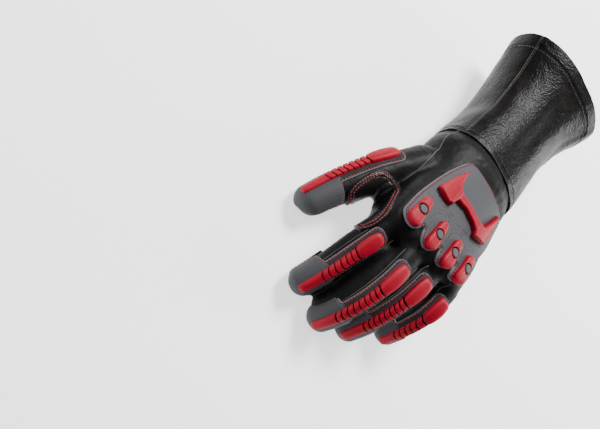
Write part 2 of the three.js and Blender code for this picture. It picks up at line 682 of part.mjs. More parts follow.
// Across the bumper: shares of its half width and of its height, base first.
const BUMPER_SECTION = [
  { across: -1, high: 0 },
  { across: 0, high: 0 },
  { across: 1, high: 0 },
  { across: 0.86, high: 0.75 },
  { across: 0, high: 1 },
  { across: -0.86, high: 0.75 },
];

function bumperGeometry(digit) {
  const base = SEAT_GAP + GUARD_THICKNESS + SEAT_GAP;
  const rings = bumperRows(GUARDS[digit.name].ribs).map((row) =>
    BUMPER_SECTION.map(({ across, high }) =>
      onGuard(digit, row.at, across * row.wide * (BUMPER_WIDTH / 2), base + high * row.high * BUMPER_HEIGHT),
    ),
  );
  return loft(rings);
}

for (const digit of [...fingers, thumb]) {
  addPiece(`${digit.name}_guard`, guardGeometry(digit), COLOURS.guard, 0.6);
  addPiece(`${digit.name}_bumper`, bumperGeometry(digit), COLOURS.bumper, 0.5);
}

// The plate's front edge at a place across the hand: four round lobes with valleys between them.
function plateFront(across) {
  let front = PLATE_FRONT;
  for (const lobe of LOBES) {
    const away = (across - lobe.across) / lobe.half;
    if (Math.abs(away) < 1) front = Math.max(front, mix(PLATE_FRONT, lobe.front, Math.sqrt(1 - away * away)));
  }
  return front;
}

function knucklePlate() {
  const rows = PLATE_SIDES.map((row) => ({ ...row, lobed: 0 }));
  rows.push({ ...PLATE_SIDES.at(-1), lobed: 0.6 }, { ...PLATE_SIDES.at(-1), lobed: 1 });
  const place = (row, share, grow) => {
    const across = mix(row.thumb, row.little, share);
    return onHand(mix(row.along, plateFront(across), row.lobed), across, 1, grow);
  };
  return patch(rows, evenly(PLATE_COLUMNS), place, SEAT_GAP, PLATE_THICKNESS);
}
addPiece("knuckle_plate", knucklePlate(), COLOURS.guard, 0.6);

const ON_PLATE = SEAT_GAP + PLATE_THICKNESS + SEAT_GAP; // height of what sits on the plate

function plateBar() {
  const place = (row, share, grow) => onHand(mix(row.rear, row.front, share), row.across, 1, grow);
  return patch(BAR_OUTLINE, evenly(3), place, ON_PLATE, BAR_HEIGHT);
}
addPiece("knuckle_bar", plateBar(), COLOURS.bumper, 0.5);

// A lobe's domed pod, long in line with its finger, and the flat stud on the middle of it.
function podGeometry(lobe) {
  const rows = [-0.97, -0.75, -0.4, 0, 0.4, 0.75, 0.97].map((end) => ({
    end,
    half: (POD_WIDTH / PALM_WIDTH) * Math.sqrt(1 - end * end),
    high: mix(0.45, 1, Math.sqrt(1 - end * end)),
  }));
  const place = ({ end, half }, share, grow) => {
    const along = lobe.front - POD_SETBACK + (end * POD_LENGTH) / 2 / PALM_LENGTH;
    return onHand(along, lobe.across + (lobe.splay * end) / 2 + mix(-half, half, share), 1, grow);
  };
  return patch(rows, evenly(3), place, ON_PLATE, POD_HEIGHT);
}

function studGeometry(lobe) {
  const base = ON_PLATE + POD_HEIGHT + SEAM_GAP;
  const rings = [0, STUD_HEIGHT].map((high) =>
    Array.from({ length: STUD_SIDES }, (_, i) => {
      const angle = (2 * Math.PI * i) / STUD_SIDES;
      const along = lobe.front - POD_SETBACK + (Math.cos(angle) * STUD_WIDTH) / 2 / PALM_LENGTH;
      return onHand(along, lobe.across + (Math.sin(angle) * STUD_WIDTH) / PALM_WIDTH, 1, base + high);
    }),
  );
  return loft(rings);
}
for (const lobe of LOBES) {
  addPiece(`${lobe.name}_pod`, podGeometry(lobe), COLOURS.bumper, 0.5);
  addPiece(`${lobe.name}_stud`, studGeometry(lobe), COLOURS.guard, 0.6);
}

// Reinforcing leather under the palm and the fingertips.
for (const [name, table] of Object.entries(PALM_PATCHES)) {
  const rows = alignRows(table, HAND_BUILD.map((row) => row.along));
  const place = (row, share, grow) => onHand(row.along, mix(row.thumb, row.little, share), -1, grow);
  addPiece(name, patch(rows, evenly(4), place, SEAT_GAP, PATCH_THICKNESS), COLOURS.patch, 0.5);
}
for (const finger of fingers) {
  const { start, end, half } = TIP_PATCH;
  const rows = alignRows([{ along: start }, { along: end }], digitStations(finger, 0));
  const place = (row, share, grow) => onSection(digitFrame(finger, row.along), 270 + mix(-half, half, share), grow);
  addPiece(`${finger.name}_tip_patch`, patch(rows, evenly(4), place, SEAT_GAP, PATCH_THICKNESS), COLOURS.patch, 0.5);
}

// Stand the glove on the table with the origin under the middle of its box.
group.updateMatrixWorld(true);
const box = new THREE.Box3().setFromObject(group, true);
const middle = box.getCenter(new THREE.Vector3());
group.position.set(-middle.x, -middle.y, -box.min.z);

export default group;
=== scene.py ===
"""A black leather gauntlet glove for MIG welding, lying palm down in a pale studio. Lengths are in metres."""
import math

import bmesh
import bpy
import numpy as np
from mathutils import Matrix, Vector, noise
from mathutils.bvhtree import BVHTree


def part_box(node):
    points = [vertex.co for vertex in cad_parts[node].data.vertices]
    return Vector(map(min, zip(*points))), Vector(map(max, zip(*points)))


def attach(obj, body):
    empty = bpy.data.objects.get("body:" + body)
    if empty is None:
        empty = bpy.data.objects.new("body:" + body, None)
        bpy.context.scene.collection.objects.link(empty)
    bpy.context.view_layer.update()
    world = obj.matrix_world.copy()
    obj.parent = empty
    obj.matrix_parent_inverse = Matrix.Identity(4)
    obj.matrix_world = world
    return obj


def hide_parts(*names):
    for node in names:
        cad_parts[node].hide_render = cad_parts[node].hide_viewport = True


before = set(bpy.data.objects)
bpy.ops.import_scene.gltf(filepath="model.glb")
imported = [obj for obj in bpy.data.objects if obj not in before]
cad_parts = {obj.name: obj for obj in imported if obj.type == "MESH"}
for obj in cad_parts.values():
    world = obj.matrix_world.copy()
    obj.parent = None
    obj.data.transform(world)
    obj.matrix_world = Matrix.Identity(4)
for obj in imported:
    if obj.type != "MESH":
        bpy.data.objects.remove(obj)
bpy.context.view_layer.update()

# The glove's own frame: its origin is on the surface, under the middle of the seam at the wrist.
WRIST_X = 0.0192
ORIGIN = np.array([WRIST_X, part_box("cuff_back")[0].y, 0.0])

LEATHER = 0.002
CUFF_LEATHER = 0.0022
HEM_LEATHER = 0.0034
LAP_GAP = 0.0007
LAP = 0.008
WRIST_WIDTH = 0.089
WRIST_HEIGHT = 0.063
WRIST_RISE = 0.0358
PALM_LENGTH = 0.13
PALM_WIDTH = 0.101
KNUCKLE_HEIGHT = 0.037
KNUCKLE_RISE = 0.0523
KNUCKLE_SLANT = 0.36
SLANT_START = -0.24
KNUCKLE_LEAN = 0.05
CUFF_LENGTH = 0.129
WAIST_WIDTH = 0.086
CUFF_WIDTH = 0.115
CUFF_HEIGHT = 0.074
CUFF_RISE = 0.0513
CUFF_DRIFT = 0.004
HEM_WIDTH = 0.011
DENT_DEPTH = 0.0032
WEB_THICKNESS = 0.021
GUARD_THICKNESS = 0.0022
GUARD_LENGTH = 0.084
GUARD_WIDTH = 0.0165
BUMPER_WIDTH = 0.0095
BUMPER_TOP = 0.0066  # of its highest place over the leather
BUMPER_INSET = 0.0034
PLATE_THICKNESS = 0.003
BAR_TOP = 0.0084
POD_LENGTH = 0.03
POD_WIDTH = 0.0108
POD_TOP = 0.0072
STUD_WIDTH = 0.0075
PATCH_THICKNESS = 0.0019
SINK = -0.0011  # how far what is sewn on presses into the leather

THUMB_SEAM = 152
LITTLE_SEAM = -24
WRIST_POWER = 2.2
KNUCKLE_POWER = 2.65
FINGER_POWER = 2.3
FINE_STEPS = 60
TIP_ROUND = 0.85
GUARD_END = 0.985
SKIN_VOXEL = 0.00147
ROOT_ROUND = 1.6
UP = np.array([0.0, 0.0, 1.0])
SIDE = np.array([1.0, 0.0, 0.0])
FOOT_SINK = 0.0012  # how far a bumper's foot presses into what carries it
ON_GUARD = 0.9 * GUARD_THICKNESS
ON_PLATE = 0.9 * PLATE_THICKNESS
GUARD_STITCHES = (0.0015, 0.0011)  # how far in from the edge, and how high
PLATE_STITCHES = (0.0021, 0.0025)
CAP_START = 0.645
CAP_FULL = 0.69


def table(columns, *rows):
    """Rows of numbers as named columns."""
    return {name: np.array(values, float) for name, values in zip(columns.split(), zip(*rows))}


def named_rows(columns, **rows):
    """Rows of values by name, each with named columns."""
    return {name: dict(zip(columns.split(), values)) for name, values in rows.items()}


def read(rows, at, column, key="along"):
    """A column of a table between its rows, along a curve without corners or overshoot."""
    x, y = rows[key], rows[column]
    rise = np.diff(y) / np.diff(x)
    tangent = np.concatenate([rise[:1], np.zeros(len(x) - 2), rise[-1:]])
    product = rise[:-1] * rise[1:]
    inner = np.where(product > 0)[0]
    tangent[inner + 1] = 2 * product[inner] / (rise[inner] + rise[inner + 1])
    at = np.clip(np.asarray(at, float), x[0], x[-1])
    i = np.clip(np.searchsorted(x, at, side="right") - 1, 0, len(x) - 2)
    step = x[i + 1] - x[i]
    t = (at - x[i]) / step
    start = (1 + 2 * t) * (1 - t) ** 2 * y[i] + t * (1 - t) ** 2 * step * tangent[i]
    return start + t * t * (3 - 2 * t) * y[i + 1] - t * t * (1 - t) * step * tangent[i + 1]


FINGER_BUILD = table("along thick", (-0.1, 0.72), (0, 0.86), (0.2, 1), (0.46, 0.95), (0.76, 0.84), (1, 0.76))
THUMB_BUILD = table(
    "along thick", (-0.12, 0.94), (0.05, 1.04), (0.4, 1), (0.55, 0.94), (0.74, 0.9), (1, 0.78),
)
FINGER = dict(length=0.111, thickness=0.0245, build=FINGER_BUILD, ends=(0.46, 0.76))
THUMB = dict(length=0.124, thickness=0.028, build=THUMB_BUILD, ends=(0.4, 0.73))
DIGITS = named_rows(
    "side root rise size thick spread dive roll bends turn",
    index=(-0.713, 0.862, 0.017, 0.919, 1, -3, 0, 0, (27, 24, 38), 7),
    middle=(-0.188, 0.877, 0.156, 1, 1, 1, 0, 0, (11, 35, 68), 0),
    ring=(0.297, 0.846, 0.169, 0.937, 0.96, 1, 0, 0, (13.5, 37.5, 61), 0),
    little=(0.762, 0.818, 0.111, 0.766, 0.878, 8, 0, 0, (16, 52, 64), 0),
    thumb=(-0.851, 0.338, 0.01, 1, 1, -25, 12, 57, (0, 8, 15), 0),
)
FINGERS = ("index", "middle", "ring", "little")
FINGER_SHELLS = [f"{name}_{side}" for name in FINGERS for side in ("back", "palm")]
GUARDS = named_rows(
    "share ribs cap", index=(0.94, 6, 1), middle=(1, 8, 1), ring=(0.95, 8, 1), little=(0.7, 5, 1),
    thumb=(1.14, 7, 1.45),
)
FULL_SIDES = named_rows(
    "across down start end", index=(0.005, 0.0042, 0.14, 0.99), middle=(-0.006, 0.005, 0.16, 0.97),
)
HAND_BUILD = table(
    "along knuckle close", (-LAP / PALM_LENGTH, 0, 0.985), (0, 0, 1), (0.2, 0.08, 1), (0.38, 0.3, 1),
    (0.56, 0.62, 1), (0.74, 0.9, 1), (0.9, 1, 0.98), (0.955, 1, 0.86), (0.985, 1, 0.62), (1, 1, 0.34),
)
WEB = table("side along drop", (-0.85, 0.7, 0.45), (-0.765, 0.84, 0.38))
WEB_FROM = 0.42
WEB_TO = 0.2
CUFF_BUILD = table(
    "along waist flare lift floor", (0, 0, 0, 0, 0.3), (0.08, 0.24, 0, 0, 1), (0.2, 0.58, 0, 0.01, 1),
    (0.34, 0.88, 0, 0.06, 0.9), (0.5, 1, 0.04, 0.12, 0.85), (0.68, 1, 0.24, 0.32, 0.5),
    (0.84, 1, 0.6, 0.62, 0.18), (0.92, 1, 0.82, 0.83, 0), (1, 1, 1, 1, 0),
)
CUFF_DENTS = table(
    "along angle reach spread deep", (0.66, 28, 0.5, 17, 0.8), (0.4, -4, 0.3, 24, 1),
    (0.36, 176, 0.2, 24, 0.6),
)
GUARD_OUTLINE = table(
    "along half", (0, 0.28), (0.008, 0.5), (0.025, 0.78), (0.05, 0.94), (0.08, 1), (0.42, 0.95),
    (CAP_START, 0.94), (0.672, 2.15), (CAP_FULL, 2.3), (0.86, 2.3), (1, 2.1), (1.03, 2.0),
)
PLATE_SIDES = table(
    "along thumb little", (0.165, -0.44, 0.68), (0.17, -0.51, 0.75), (0.182, -0.555, 0.8),
    (0.2, -0.585, 0.83), (0.38, -0.735, 0.885), (0.56, -0.82, 0.82), (0.74, -0.875, 0.75),
    (0.86, -0.885, 0.76),
)
PLATE_FRONT = 0.862
LOBES = named_rows(
    "across half front splay", index=(-0.69, 0.2, 0.938, 0), middle=(-0.23, 0.215, 0.94, 0.04),
    ring=(0.2, 0.19, 0.954, 0.07), little=(0.59, 0.17, 0.958, 0.09),
)
POD_SETBACK = 0.123
BAR_OUTLINE = table(
    "across rear front high", (-0.71, 0.55, 0.585, 0.85), (-0.62, 0.42, 0.6, 1), (-0.53, 0.31, 0.605, 0.9),
    (-0.47, 0.265, 0.605, 0.8), (-0.44, 0.42, 0.604, 1), (-0.39, 0.448, 0.595, 1), (-0.34, 0.446, 0.52, 0.85),
    (-0.13, 0.443, 0.508, 0.8), (0.14, 0.46, 0.533, 0.8), (0.25, 0.465, 0.56, 0.85), (0.285, 0.466, 0.61, 1),
    (0.36, 0.463, 0.603, 1), (0.45, 0.345, 0.59, 0.95), (0.53, 0.23, 0.577, 0.8), (0.575, 0.29, 0.567, 0.85),
    (0.6, 0.4, 0.55, 0.75),
)
PALM_PATCHES = {
    "heel_patch": table(
        "along thumb little", (0.14, 0.3, 0.5), (0.2, 0.24, 0.72), (0.32, 0.2, 0.86), (0.46, 0.12, 0.9),
        (0.54, 0.04, 0.84), (0.6, -0.06, 0.5),
    ),
    "crescent_patch": table(
        "along thumb little", (0.16, 0.02, 0.14), (0.22, -0.06, 0.16), (0.34, -0.16, 0.08),
        (0.46, -0.3, -0.04), (0.58, -0.52, -0.2), (0.66, -0.66, -0.42),
    ),
    "palm_patch": table(
        "along thumb little", (0.66, -0.4, 0.7), (0.7, -0.56, 0.78), (0.78, -0.6, 0.8), (0.86, -0.58, 0.78),
        (0.9, -0.5, 0.7),
    ),
}
TIP_PATCH = dict(start=0.66, end=0.97, half=64)
CUFF_PATCH = dict(along=0.54, reach=0.36, angle=-20, half=24)


def mix(a, b, share):
    return a + (b - a) * share


def held(value):
    """Values kept between 0 and 1."""
    return np.clip(value, 0, 1)


def unit(vectors):
    """Vectors of length 1."""
    return vectors / np.maximum(np.linalg.norm(vectors, axis=-1, keepdims=True), 1e-12)


def paired(first, second):
    """Two numbers or arrays as arrays of one shape."""
    return np.broadcast_arrays(np.asarray(first, float), np.asarray(second, float))


def grid_of(rows, columns):
    return np.meshgrid(rows, columns, indexing="ij")


def turns(count, whole=2 * math.pi):
    """Even turns of a closed ring."""
    return np.linspace(0, whole, count, endpoint=False)


def on_section(centre, side, up, half, top, bottom, power, degrees, grow=0.0):
    """Points of rounded sections: angle 0 is the +X side and 90 the back."""
    turn = np.radians(degrees)
    cosine, sine = np.cos(turn), np.sin(turn)
    reach = 2 / power
    across = np.sign(cosine) * np.abs(cosine) ** reach * (half + grow)
    height = np.sign(sine) * np.abs(sine) ** reach * (np.where(sine > 0, top, bottom) + grow)
    return centre + side * across[..., None] + up * height[..., None]


def hand_frame(along):
    """The hand's sections at shares of its length, and how far each is at the knuckles."""
    knuckle = read(HAND_BUILD, along, "knuckle")
    close = read(HAND_BUILD, along, "close")
    nothing = np.zeros_like(knuckle)
    return dict(
        centre=np.stack([nothing, -along * PALM_LENGTH, mix(WRIST_RISE, KNUCKLE_RISE, knuckle)], -1),
        side=np.stack([nothing + 1, nothing, -KNUCKLE_LEAN * knuckle], -1),
        half=mix(WRIST_WIDTH, PALM_WIDTH, knuckle) / 2 * mix(0.6, 1, close),
        top=mix(WRIST_HEIGHT, KNUCKLE_HEIGHT, knuckle) / 2 * close,
        power=mix(WRIST_POWER, KNUCKLE_POWER, knuckle),
    ), knuckle


def slant(points, knuckle):
    """The knuckles fall back towards the little finger."""
    past = np.maximum(0, points[..., 0] - SLANT_START * PALM_WIDTH / 2)
    points[..., 1] += knuckle * KNUCKLE_SLANT * past
    return points


def on_hand(along, across, face=1):
    """Points on the back or palm of the hand, from shares along it and of its half width."""
    along, across = paired(along, across)
    base, knuckle = hand_frame(along)
    rest = np.maximum(0, 1 - np.abs(across) ** base["power"])
    height = base["top"] * rest ** (1 / base["power"]) * face
    points = base["centre"] + base["side"] * (across * base["half"])[..., None] + UP * height[..., None]
    return slant(points, knuckle) + ORIGIN


class Digit:
    """A finger or the thumb: a centreline that bends with its phalanges, and its round sections."""

    def __init__(self, name):
        row = DIGITS[name]
        form = THUMB if name == "thumb" else FINGER
        self.name = name
        self.length = row["size"] * form["length"]
        self.start = form["build"]["along"][0]
        dive, spread = math.radians(row["dive"]), math.radians(row["spread"])
        level = math.cos(dive)
        ahead = Vector((math.sin(spread) * level, -math.cos(spread) * level, -math.sin(dive)))
        back = ahead.cross(Vector((0, 0, 1)).cross(ahead).normalized()).normalized()
        back.rotate(Matrix.Rotation(math.radians(row["roll"]), 3, ahead))
        self.side = np.array(back.cross(ahead))
        ahead, back = np.array(ahead), np.array(back)
        first, second = form["ends"]
        bends = row["bends"]
        places = [0, 0.75 * first, (first + second) / 2, (second + 1) / 2, 1]
        along = np.linspace(self.start, 1, FINE_STEPS + 1)
        bend = np.interp(along, places, [0.8 * bends[0], *bends, bends[2] + 2])
        bend = np.radians(np.where(along < 0, 0, bend))[:, None]
        self.forward = ahead * np.cos(bend) - back * np.sin(bend)
        self.up = back * np.cos(bend) + ahead * np.sin(bend)
        step = self.length * (1 - self.start) / FINE_STEPS
        base, knuckle = hand_frame(np.array(row["root"]))
        root = base["centre"] + base["side"] * (row["side"] * PALM_WIDTH / 2)
        root = slant(root + UP * (row["rise"] * KNUCKLE_HEIGHT), knuckle) + ahead * self.start * self.length
        steps = np.vstack([np.zeros(3), np.cumsum(self.forward[:-1], axis=0) * step])
        self.centre = root + steps + ORIGIN
        self.half = row["thick"] * form["thickness"] / 2 * read(form["build"], along, "thick")
        self.turn = row["turn"]

    def frame(self, along):
        """Centres, ups and half thicknesses at shares of the length, drawn in round the tip."""
        along = np.asarray(along, float)
        place = held((along - self.start) / (1 - self.start)) * FINE_STEPS
        low = np.minimum(np.floor(place).astype(int), FINE_STEPS - 1)
        share = (place - low)[..., None]
        centre = mix(self.centre[low], self.centre[low + 1], share)
        up = mix(self.up[low], self.up[low + 1], share)
        half = mix(self.half[low], self.half[low + 1], share[..., 0])
        left = np.maximum(0, (1 - along) * self.length)
        into = np.maximum(0, 1 - left / (TIP_ROUND * self.half[-1]))
        close = np.sqrt(np.maximum(0, 1 - into * into))
        return centre, unit(up), np.maximum(half * close, 0.03 * half)

    def middle(self, along):
        """Places on the centreline."""
        return self.frame(along)[0]

    def point(self, along, degrees):
        along, degrees = paired(along, degrees)
        centre, up, half = self.frame(along)
        return on_section(centre, self.side, up, half, half, half, FINGER_POWER, degrees)

    def stations(self, count, rounds=14):
        """Shares along the digit: even steps, then closer ones round the tip."""
        tip = 1 - TIP_ROUND * self.half[-1] / self.length
        rounded = np.sin(np.linspace(0, math.pi / 2, rounds))
        return np.concatenate([np.linspace(self.start, tip, count)[:-1], mix(tip, 1, rounded)])

    def guard_span(self):
        length = GUARD_LENGTH * GUARDS[self.name]["share"] / self.length
        return GUARD_END - length, length

    def under_guard(self, share):
        """The digit's middle under places along its guard."""
        start, length = self.guard_span()
        return self.middle(start + share * length)

    def on_guard(self, share, across):
        """Points on the digit's back, from shares along its guard and distances across it."""
        start, length = self.guard_span()
        along = start + np.asarray(share, float) * length
        wide = self.frame(np.minimum(along, 0.9))[2]
        turned = self.turn * held(np.asarray(share, float))
        return self.point(along, 90 - turned - np.degrees(across / wide))


def on_cuff(along, degrees, grow=0.0):
    """Points on the gauntlet at shares of its length and angles round it."""
    along, degrees = paired(along, degrees)
    waist, flare, lift, floor = [read(CUFF_BUILD, along, name) for name in list(CUFF_BUILD)[1:]]
    lapped = LAP_GAP + CUFF_LEATHER
    rise = mix(WRIST_RISE, CUFF_RISE, lift)
    height = mix(WRIST_HEIGHT / 2 + lapped, CUFF_HEIGHT / 2, flare)
    half = mix(mix(WRIST_WIDTH / 2 + lapped, WAIST_WIDTH / 2, waist), CUFF_WIDTH / 2, flare)
    dent = np.zeros_like(along)
    for place, angle, reach, spread, deep in zip(*CUFF_DENTS.values()):
        around = ((degrees - angle + 540) % 360 - 180) / spread
        down = (along - place) / reach
        dent += DENT_DEPTH * deep * np.exp(-around * around - 4 * down * down)
    centre = np.stack([-CUFF_DRIFT * flare, along * CUFF_LENGTH, rise], -1)
    bottom = mix(height, rise + CUFF_LEATHER, floor)
    points = on_section(centre, SIDE, UP, half, height, bottom, WRIST_POWER, degrees, grow - dent)
    points[..., 2] = np.maximum(points[..., 2], -grow)
    return points + ORIGIN


# Mesh making.
def placed(name, data):
    """A new object in the scene."""
    obj = bpy.data.objects.new(name, data)
    bpy.context.scene.collection.objects.link(obj)
    return obj


def new_object(name, points, faces, material=None):
    """A smooth shaded mesh, none of it below the floor."""
    mesh = bpy.data.meshes.new(name)
    mesh.from_pydata([(p[0], p[1], max(p[2], 0.0)) for p in points], [], [tuple(f) for f in faces])
    mesh.validate()
    mesh.polygons.foreach_set("use_smooth", [True] * len(mesh.polygons))
    if material:
        mesh.materials.append(material)
    return placed(name, mesh)


def grid_faces(rows, columns, start=0, around=False):
    """Quads of a grid of points, listed row by row."""
    row, column = grid_of(np.arange(rows - 1), np.arange(columns if around else columns - 1))
    after = (column + 1) % columns
    near, far = row * columns, (row + 1) * columns
    return np.stack([c.ravel() for c in (near + column, near + after, far + after, far + column)], -1) + start


def tube_mesh(rings):
    """Points and faces of a closed tube through rings, with a fan over each end."""
    rows, count = rings.shape[:2]
    points = np.vstack([rings.reshape(-1, 3), rings[0].mean(0), rings[-1].mean(0)])
    faces = [tuple(f) for f in grid_faces(rows, count, around=True)]
    first, last = rows * count, rows * count + 1
    for i in range(count):
        after = (i + 1) % count
        faces.append((after, i, first))
        faces.append(((rows - 1) * count + i, (rows - 1) * count + after, last))
    return points, faces


def normals_of(points, away):
    """Unit normals of a grid of points, on the side that away points to."""
    normal = unit(np.cross(np.gradient(points, axis=0), np.gradient(points, axis=1)))
    return normal if np.sum(normal * away) > 0 else -normal


def border_of(grid):
    """The border of a grid, as one closed loop."""
    return np.concatenate([grid[0, :-1], grid[:-1, -1], grid[-1, :0:-1], grid[:0:-1, 0]])


def distance_to(path, points, loop=True):
    """Distances from points to a line through the path's points."""
    ends = np.roll(path, -1, axis=0) if loop else path[1:]
    starts = path if loop else path[:-1]
    best = np.full(points.reshape(-1, 3).shape[0], 1e9)
    flat = points.reshape(-1, 3)
    for a, b in zip(starts, ends):
        along = b - a
        share = held((flat - a) @ along / max(along @ along, 1e-14))
        best = np.minimum(best, np.linalg.norm(flat - a - share[:, None] * along, axis=1))
    return best.reshape(points.shape[:-1])


def edge_distance(grid):
    """How far the places of a grid are from its border."""
    return distance_to(border_of(grid), grid)


def rounded(distance, radius):
    """From 0 at an edge to 1 past a quarter circle of that radius."""
    inside = held(distance / radius)
    return np.sqrt(1 - (1 - inside) ** 2)


def bump_line(value, centre, width):
    """A smooth ridge of height 1 where value is at centre."""
    return np.exp(-((value - centre) / width) ** 2)


def crowded(count, power=1.0):
    """Shares from 0 to 1, closer together near both ends."""
    even = np.linspace(0, 1, count)
    return mix(even, 0.5 - 0.5 * np.cos(math.pi * even), power)


def relief(name, base, away, high, low, material, shade=None):
    """A closed body over a grid of places: high and low are its heights over them."""
    normal = normals_of(base, away)
    top = base + normal * np.asarray(high)[..., None]
    bottom = base + normal * (np.zeros(base.shape[:2]) + low)[..., None]
    rows, columns = base.shape[:2]
    count = rows * columns
    loop = border_of(np.arange(count).reshape(rows, columns, 1))[:, 0]
    after = np.roll(loop, -1)
    sides = np.stack([loop, loop + count, after + count, after], -1)
    faces = np.vstack([grid_faces(rows, columns), grid_faces(rows, columns, count)[:, ::-1], sides])
    if np.sum(np.cross(top[1, 0] - top[0, 0], top[0, 1] - top[0, 0]) * normal[0, 0]) > 0:
        faces = faces[:, ::-1]
    obj = new_object(name, np.vstack([top.reshape(-1, 3), bottom.reshape(-1, 3)]), faces, material)
    fix_normals(obj)
    if shade is not None:
        paint(obj, np.tile(np.ravel(shade), 2))
    return obj


def fix_normals(obj):
    mesh = bmesh.new()
    mesh.from_mesh(obj.data)
    bmesh.ops.recalc_face_normals(mesh, faces=mesh.faces)
    mesh.to_mesh(obj.data)
    mesh.free()


def paint(obj, values):
    """A number for each point, which its material reads as a tone: the piece's own tones, painted shade and
    painted highlights.
    """
    layer = obj.data.attributes.new("tone_and_painted_light", "FLOAT", "POINT")
    layer.data.foreach_set("value", np.asarray(values, np.float32))


def keep(obj, slot, *nodes):
    """The piece rides on the glove and stands for CAD nodes, whose parts it hides; its slot is not used."""
    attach(obj, "root")
    if nodes:
        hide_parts(*nodes)
    return obj


def lengths_along(path):
    """Distances from a line's start to each of its points."""
    return np.concatenate([[0], np.cumsum(np.linalg.norm(np.diff(path, axis=0), axis=1))])


def spaced(values, lengths, at):
    """What a line's points carry, at distances along it."""
    return np.stack([np.interp(at, lengths, values[:, k]) for k in range(3)], -1)


def resample(path, pitch):
    """Points at even distances along a line."""
    lengths = lengths_along(path)
    count = max(2, int(round(lengths[-1] / pitch)) + 1)
    return spaced(path, lengths, np.linspace(0, lengths[-1], count))


def soften(path, rounds):
    """Evens out a line in place, but for its ends."""
    for _ in range(rounds):
        path[1:-1] = 0.5 * path[1:-1] + 0.25 * (path[:-2] + path[2:])


def curve_through(knots, places, share):
    """A smooth line through knots at given shares along it."""
    return np.stack([read(dict(along=places, value=knots[:, k]), share, "value") for k in range(3)], -1)


def stepped(places, counts):
    """Rising values through places, with a count for each span between two of them."""
    spans = [np.linspace(a, b, count)[:-1] for a, b, count in zip(places, places[1:], counts)]
    return np.concatenate([*spans, places[-1:]])


def rings_round(path, side, up, size, count):
    """Rings round a line, from the ways aside and up from it."""
    turn = turns(count)
    ring = np.cos(turn)[:, None] * side[:, None] + np.sin(turn)[:, None] * up[:, None]
    return path[:, None] + ring * size[:, None, None]


def tube_along(path, radius, normal, sides=8):
    """Rings of a tube along a line on a surface, its ends drawn in."""
    tangent = unit(np.gradient(path, axis=0))
    side = unit(np.cross(tangent, normal))
    size = radius * np.ones(len(path))
    size[0] = size[-1] = 0.35 * radius
    return rings_round(path, side, np.cross(side, tangent), size, sides)


def merge_meshes(name, parts, material):
    """One object from lists of points and faces."""
    points, faces, start = [], [], 0
    for some_points, some_faces in parts:
        points.append(some_points)
        faces.extend(tuple(int(i) + start for i in face) for face in some_faces)
        start += len(some_points)
    return new_object(name, np.vstack(points), faces, material)


STITCH_PITCH = 0.0027
STITCH_LENGTH = 0.0021
STITCH_RADIUS = 0.00036


def stitch_parts(path, normal):
    """Small arched threads along a line on a surface."""
    lengths = lengths_along(path)
    arch = STITCH_RADIUS * np.array([-0.7, 0.45, 0.8, 0.45, -0.7])
    parts = []
    for i in range(int(lengths[-1] / STITCH_PITCH)):
        at = (i + 0.5) * STITCH_PITCH + np.linspace(-0.5, 0.5, 5) * STITCH_LENGTH
        ups = unit(spaced(normal, lengths, at))
        line = spaced(path, lengths, at) + ups * arch[:, None]
        parts.append(tube_mesh(tube_along(line, STITCH_RADIUS, ups, 6)))
    return parts


# Materials.
class Finish:
    """A material, whose nodes are added and joined by short calls."""

    def __init__(self, name):
        self.material = bpy.data.materials.new(name)
        self.material.use_nodes = True
        self.tree = self.material.node_tree
        self.shader = self.tree.nodes["Principled BSDF"]
        self.place = self.tree.nodes.new("ShaderNodeTexCoord").outputs["Object"]

    def feed(self, socket, value):
        """Links a socket to another node's output, or sets the socket itself."""
        if isinstance(value, bpy.types.NodeSocket):
            self.tree.links.new(value, socket)
        else:
            socket.default_value = value

    def look(self, name, value):
        self.feed(self.shader.inputs[name], value)

    def add(self, kind, *values, **named):
        """A node, with its first inputs in order, then its settings and inputs by name."""
        node = self.tree.nodes.new(f"ShaderNode{kind}")
        for key, value in named.items():
            if key in node.inputs:
                self.feed(node.inputs[key], value)
            else:
                setattr(node, key, value)
        for socket, value in zip(node.inputs, values):
            self.feed(socket, value)
        return node

    def noise(self, scale, detail=3.0, rough=0.55):
        node = self.add("TexNoise", Vector=self.place, Scale=scale, Detail=detail, Roughness=rough)
        return node.outputs["Fac"]

    def ramp(self, value, stops):
        """A colour ramp of (place, colour) stops."""
        node = self.add("ValToRGB", value)
        stretch = node.color_ramp.elements
        for element, (place, colour) in zip(stretch, (stops[0], stops[-1])):
            element.position, element.color = place, (*colour, 1)
        for place, colour in stops[1:-1]:
            stretch.new(place).color = (*colour, 1)
        return node.outputs["Color"]

    def math(self, operation, *values):
        return self.add("Math", *values, operation=operation).outputs[0]

    def mixed(self, share, first, second):
        """A colour between two, by a share that varies over the surface."""
        node = self.add("Mix", share, data_type="RGBA")
        for place, colour in ((6, first), (7, second)):
            self.feed(node.inputs[place], (*colour, 1))
        return node.outputs[2]

    def bump(self, *layers):
        """Bump nodes in a row, each with a height, a strength and a distance."""
        last = {}
        for height, strength, distance in layers:
            node = self.add("Bump", Strength=strength, Distance=distance, Height=height, **last)
            last = {"Normal": node.outputs["Normal"]}
        self.look("Normal", last["Normal"])
        return self.material


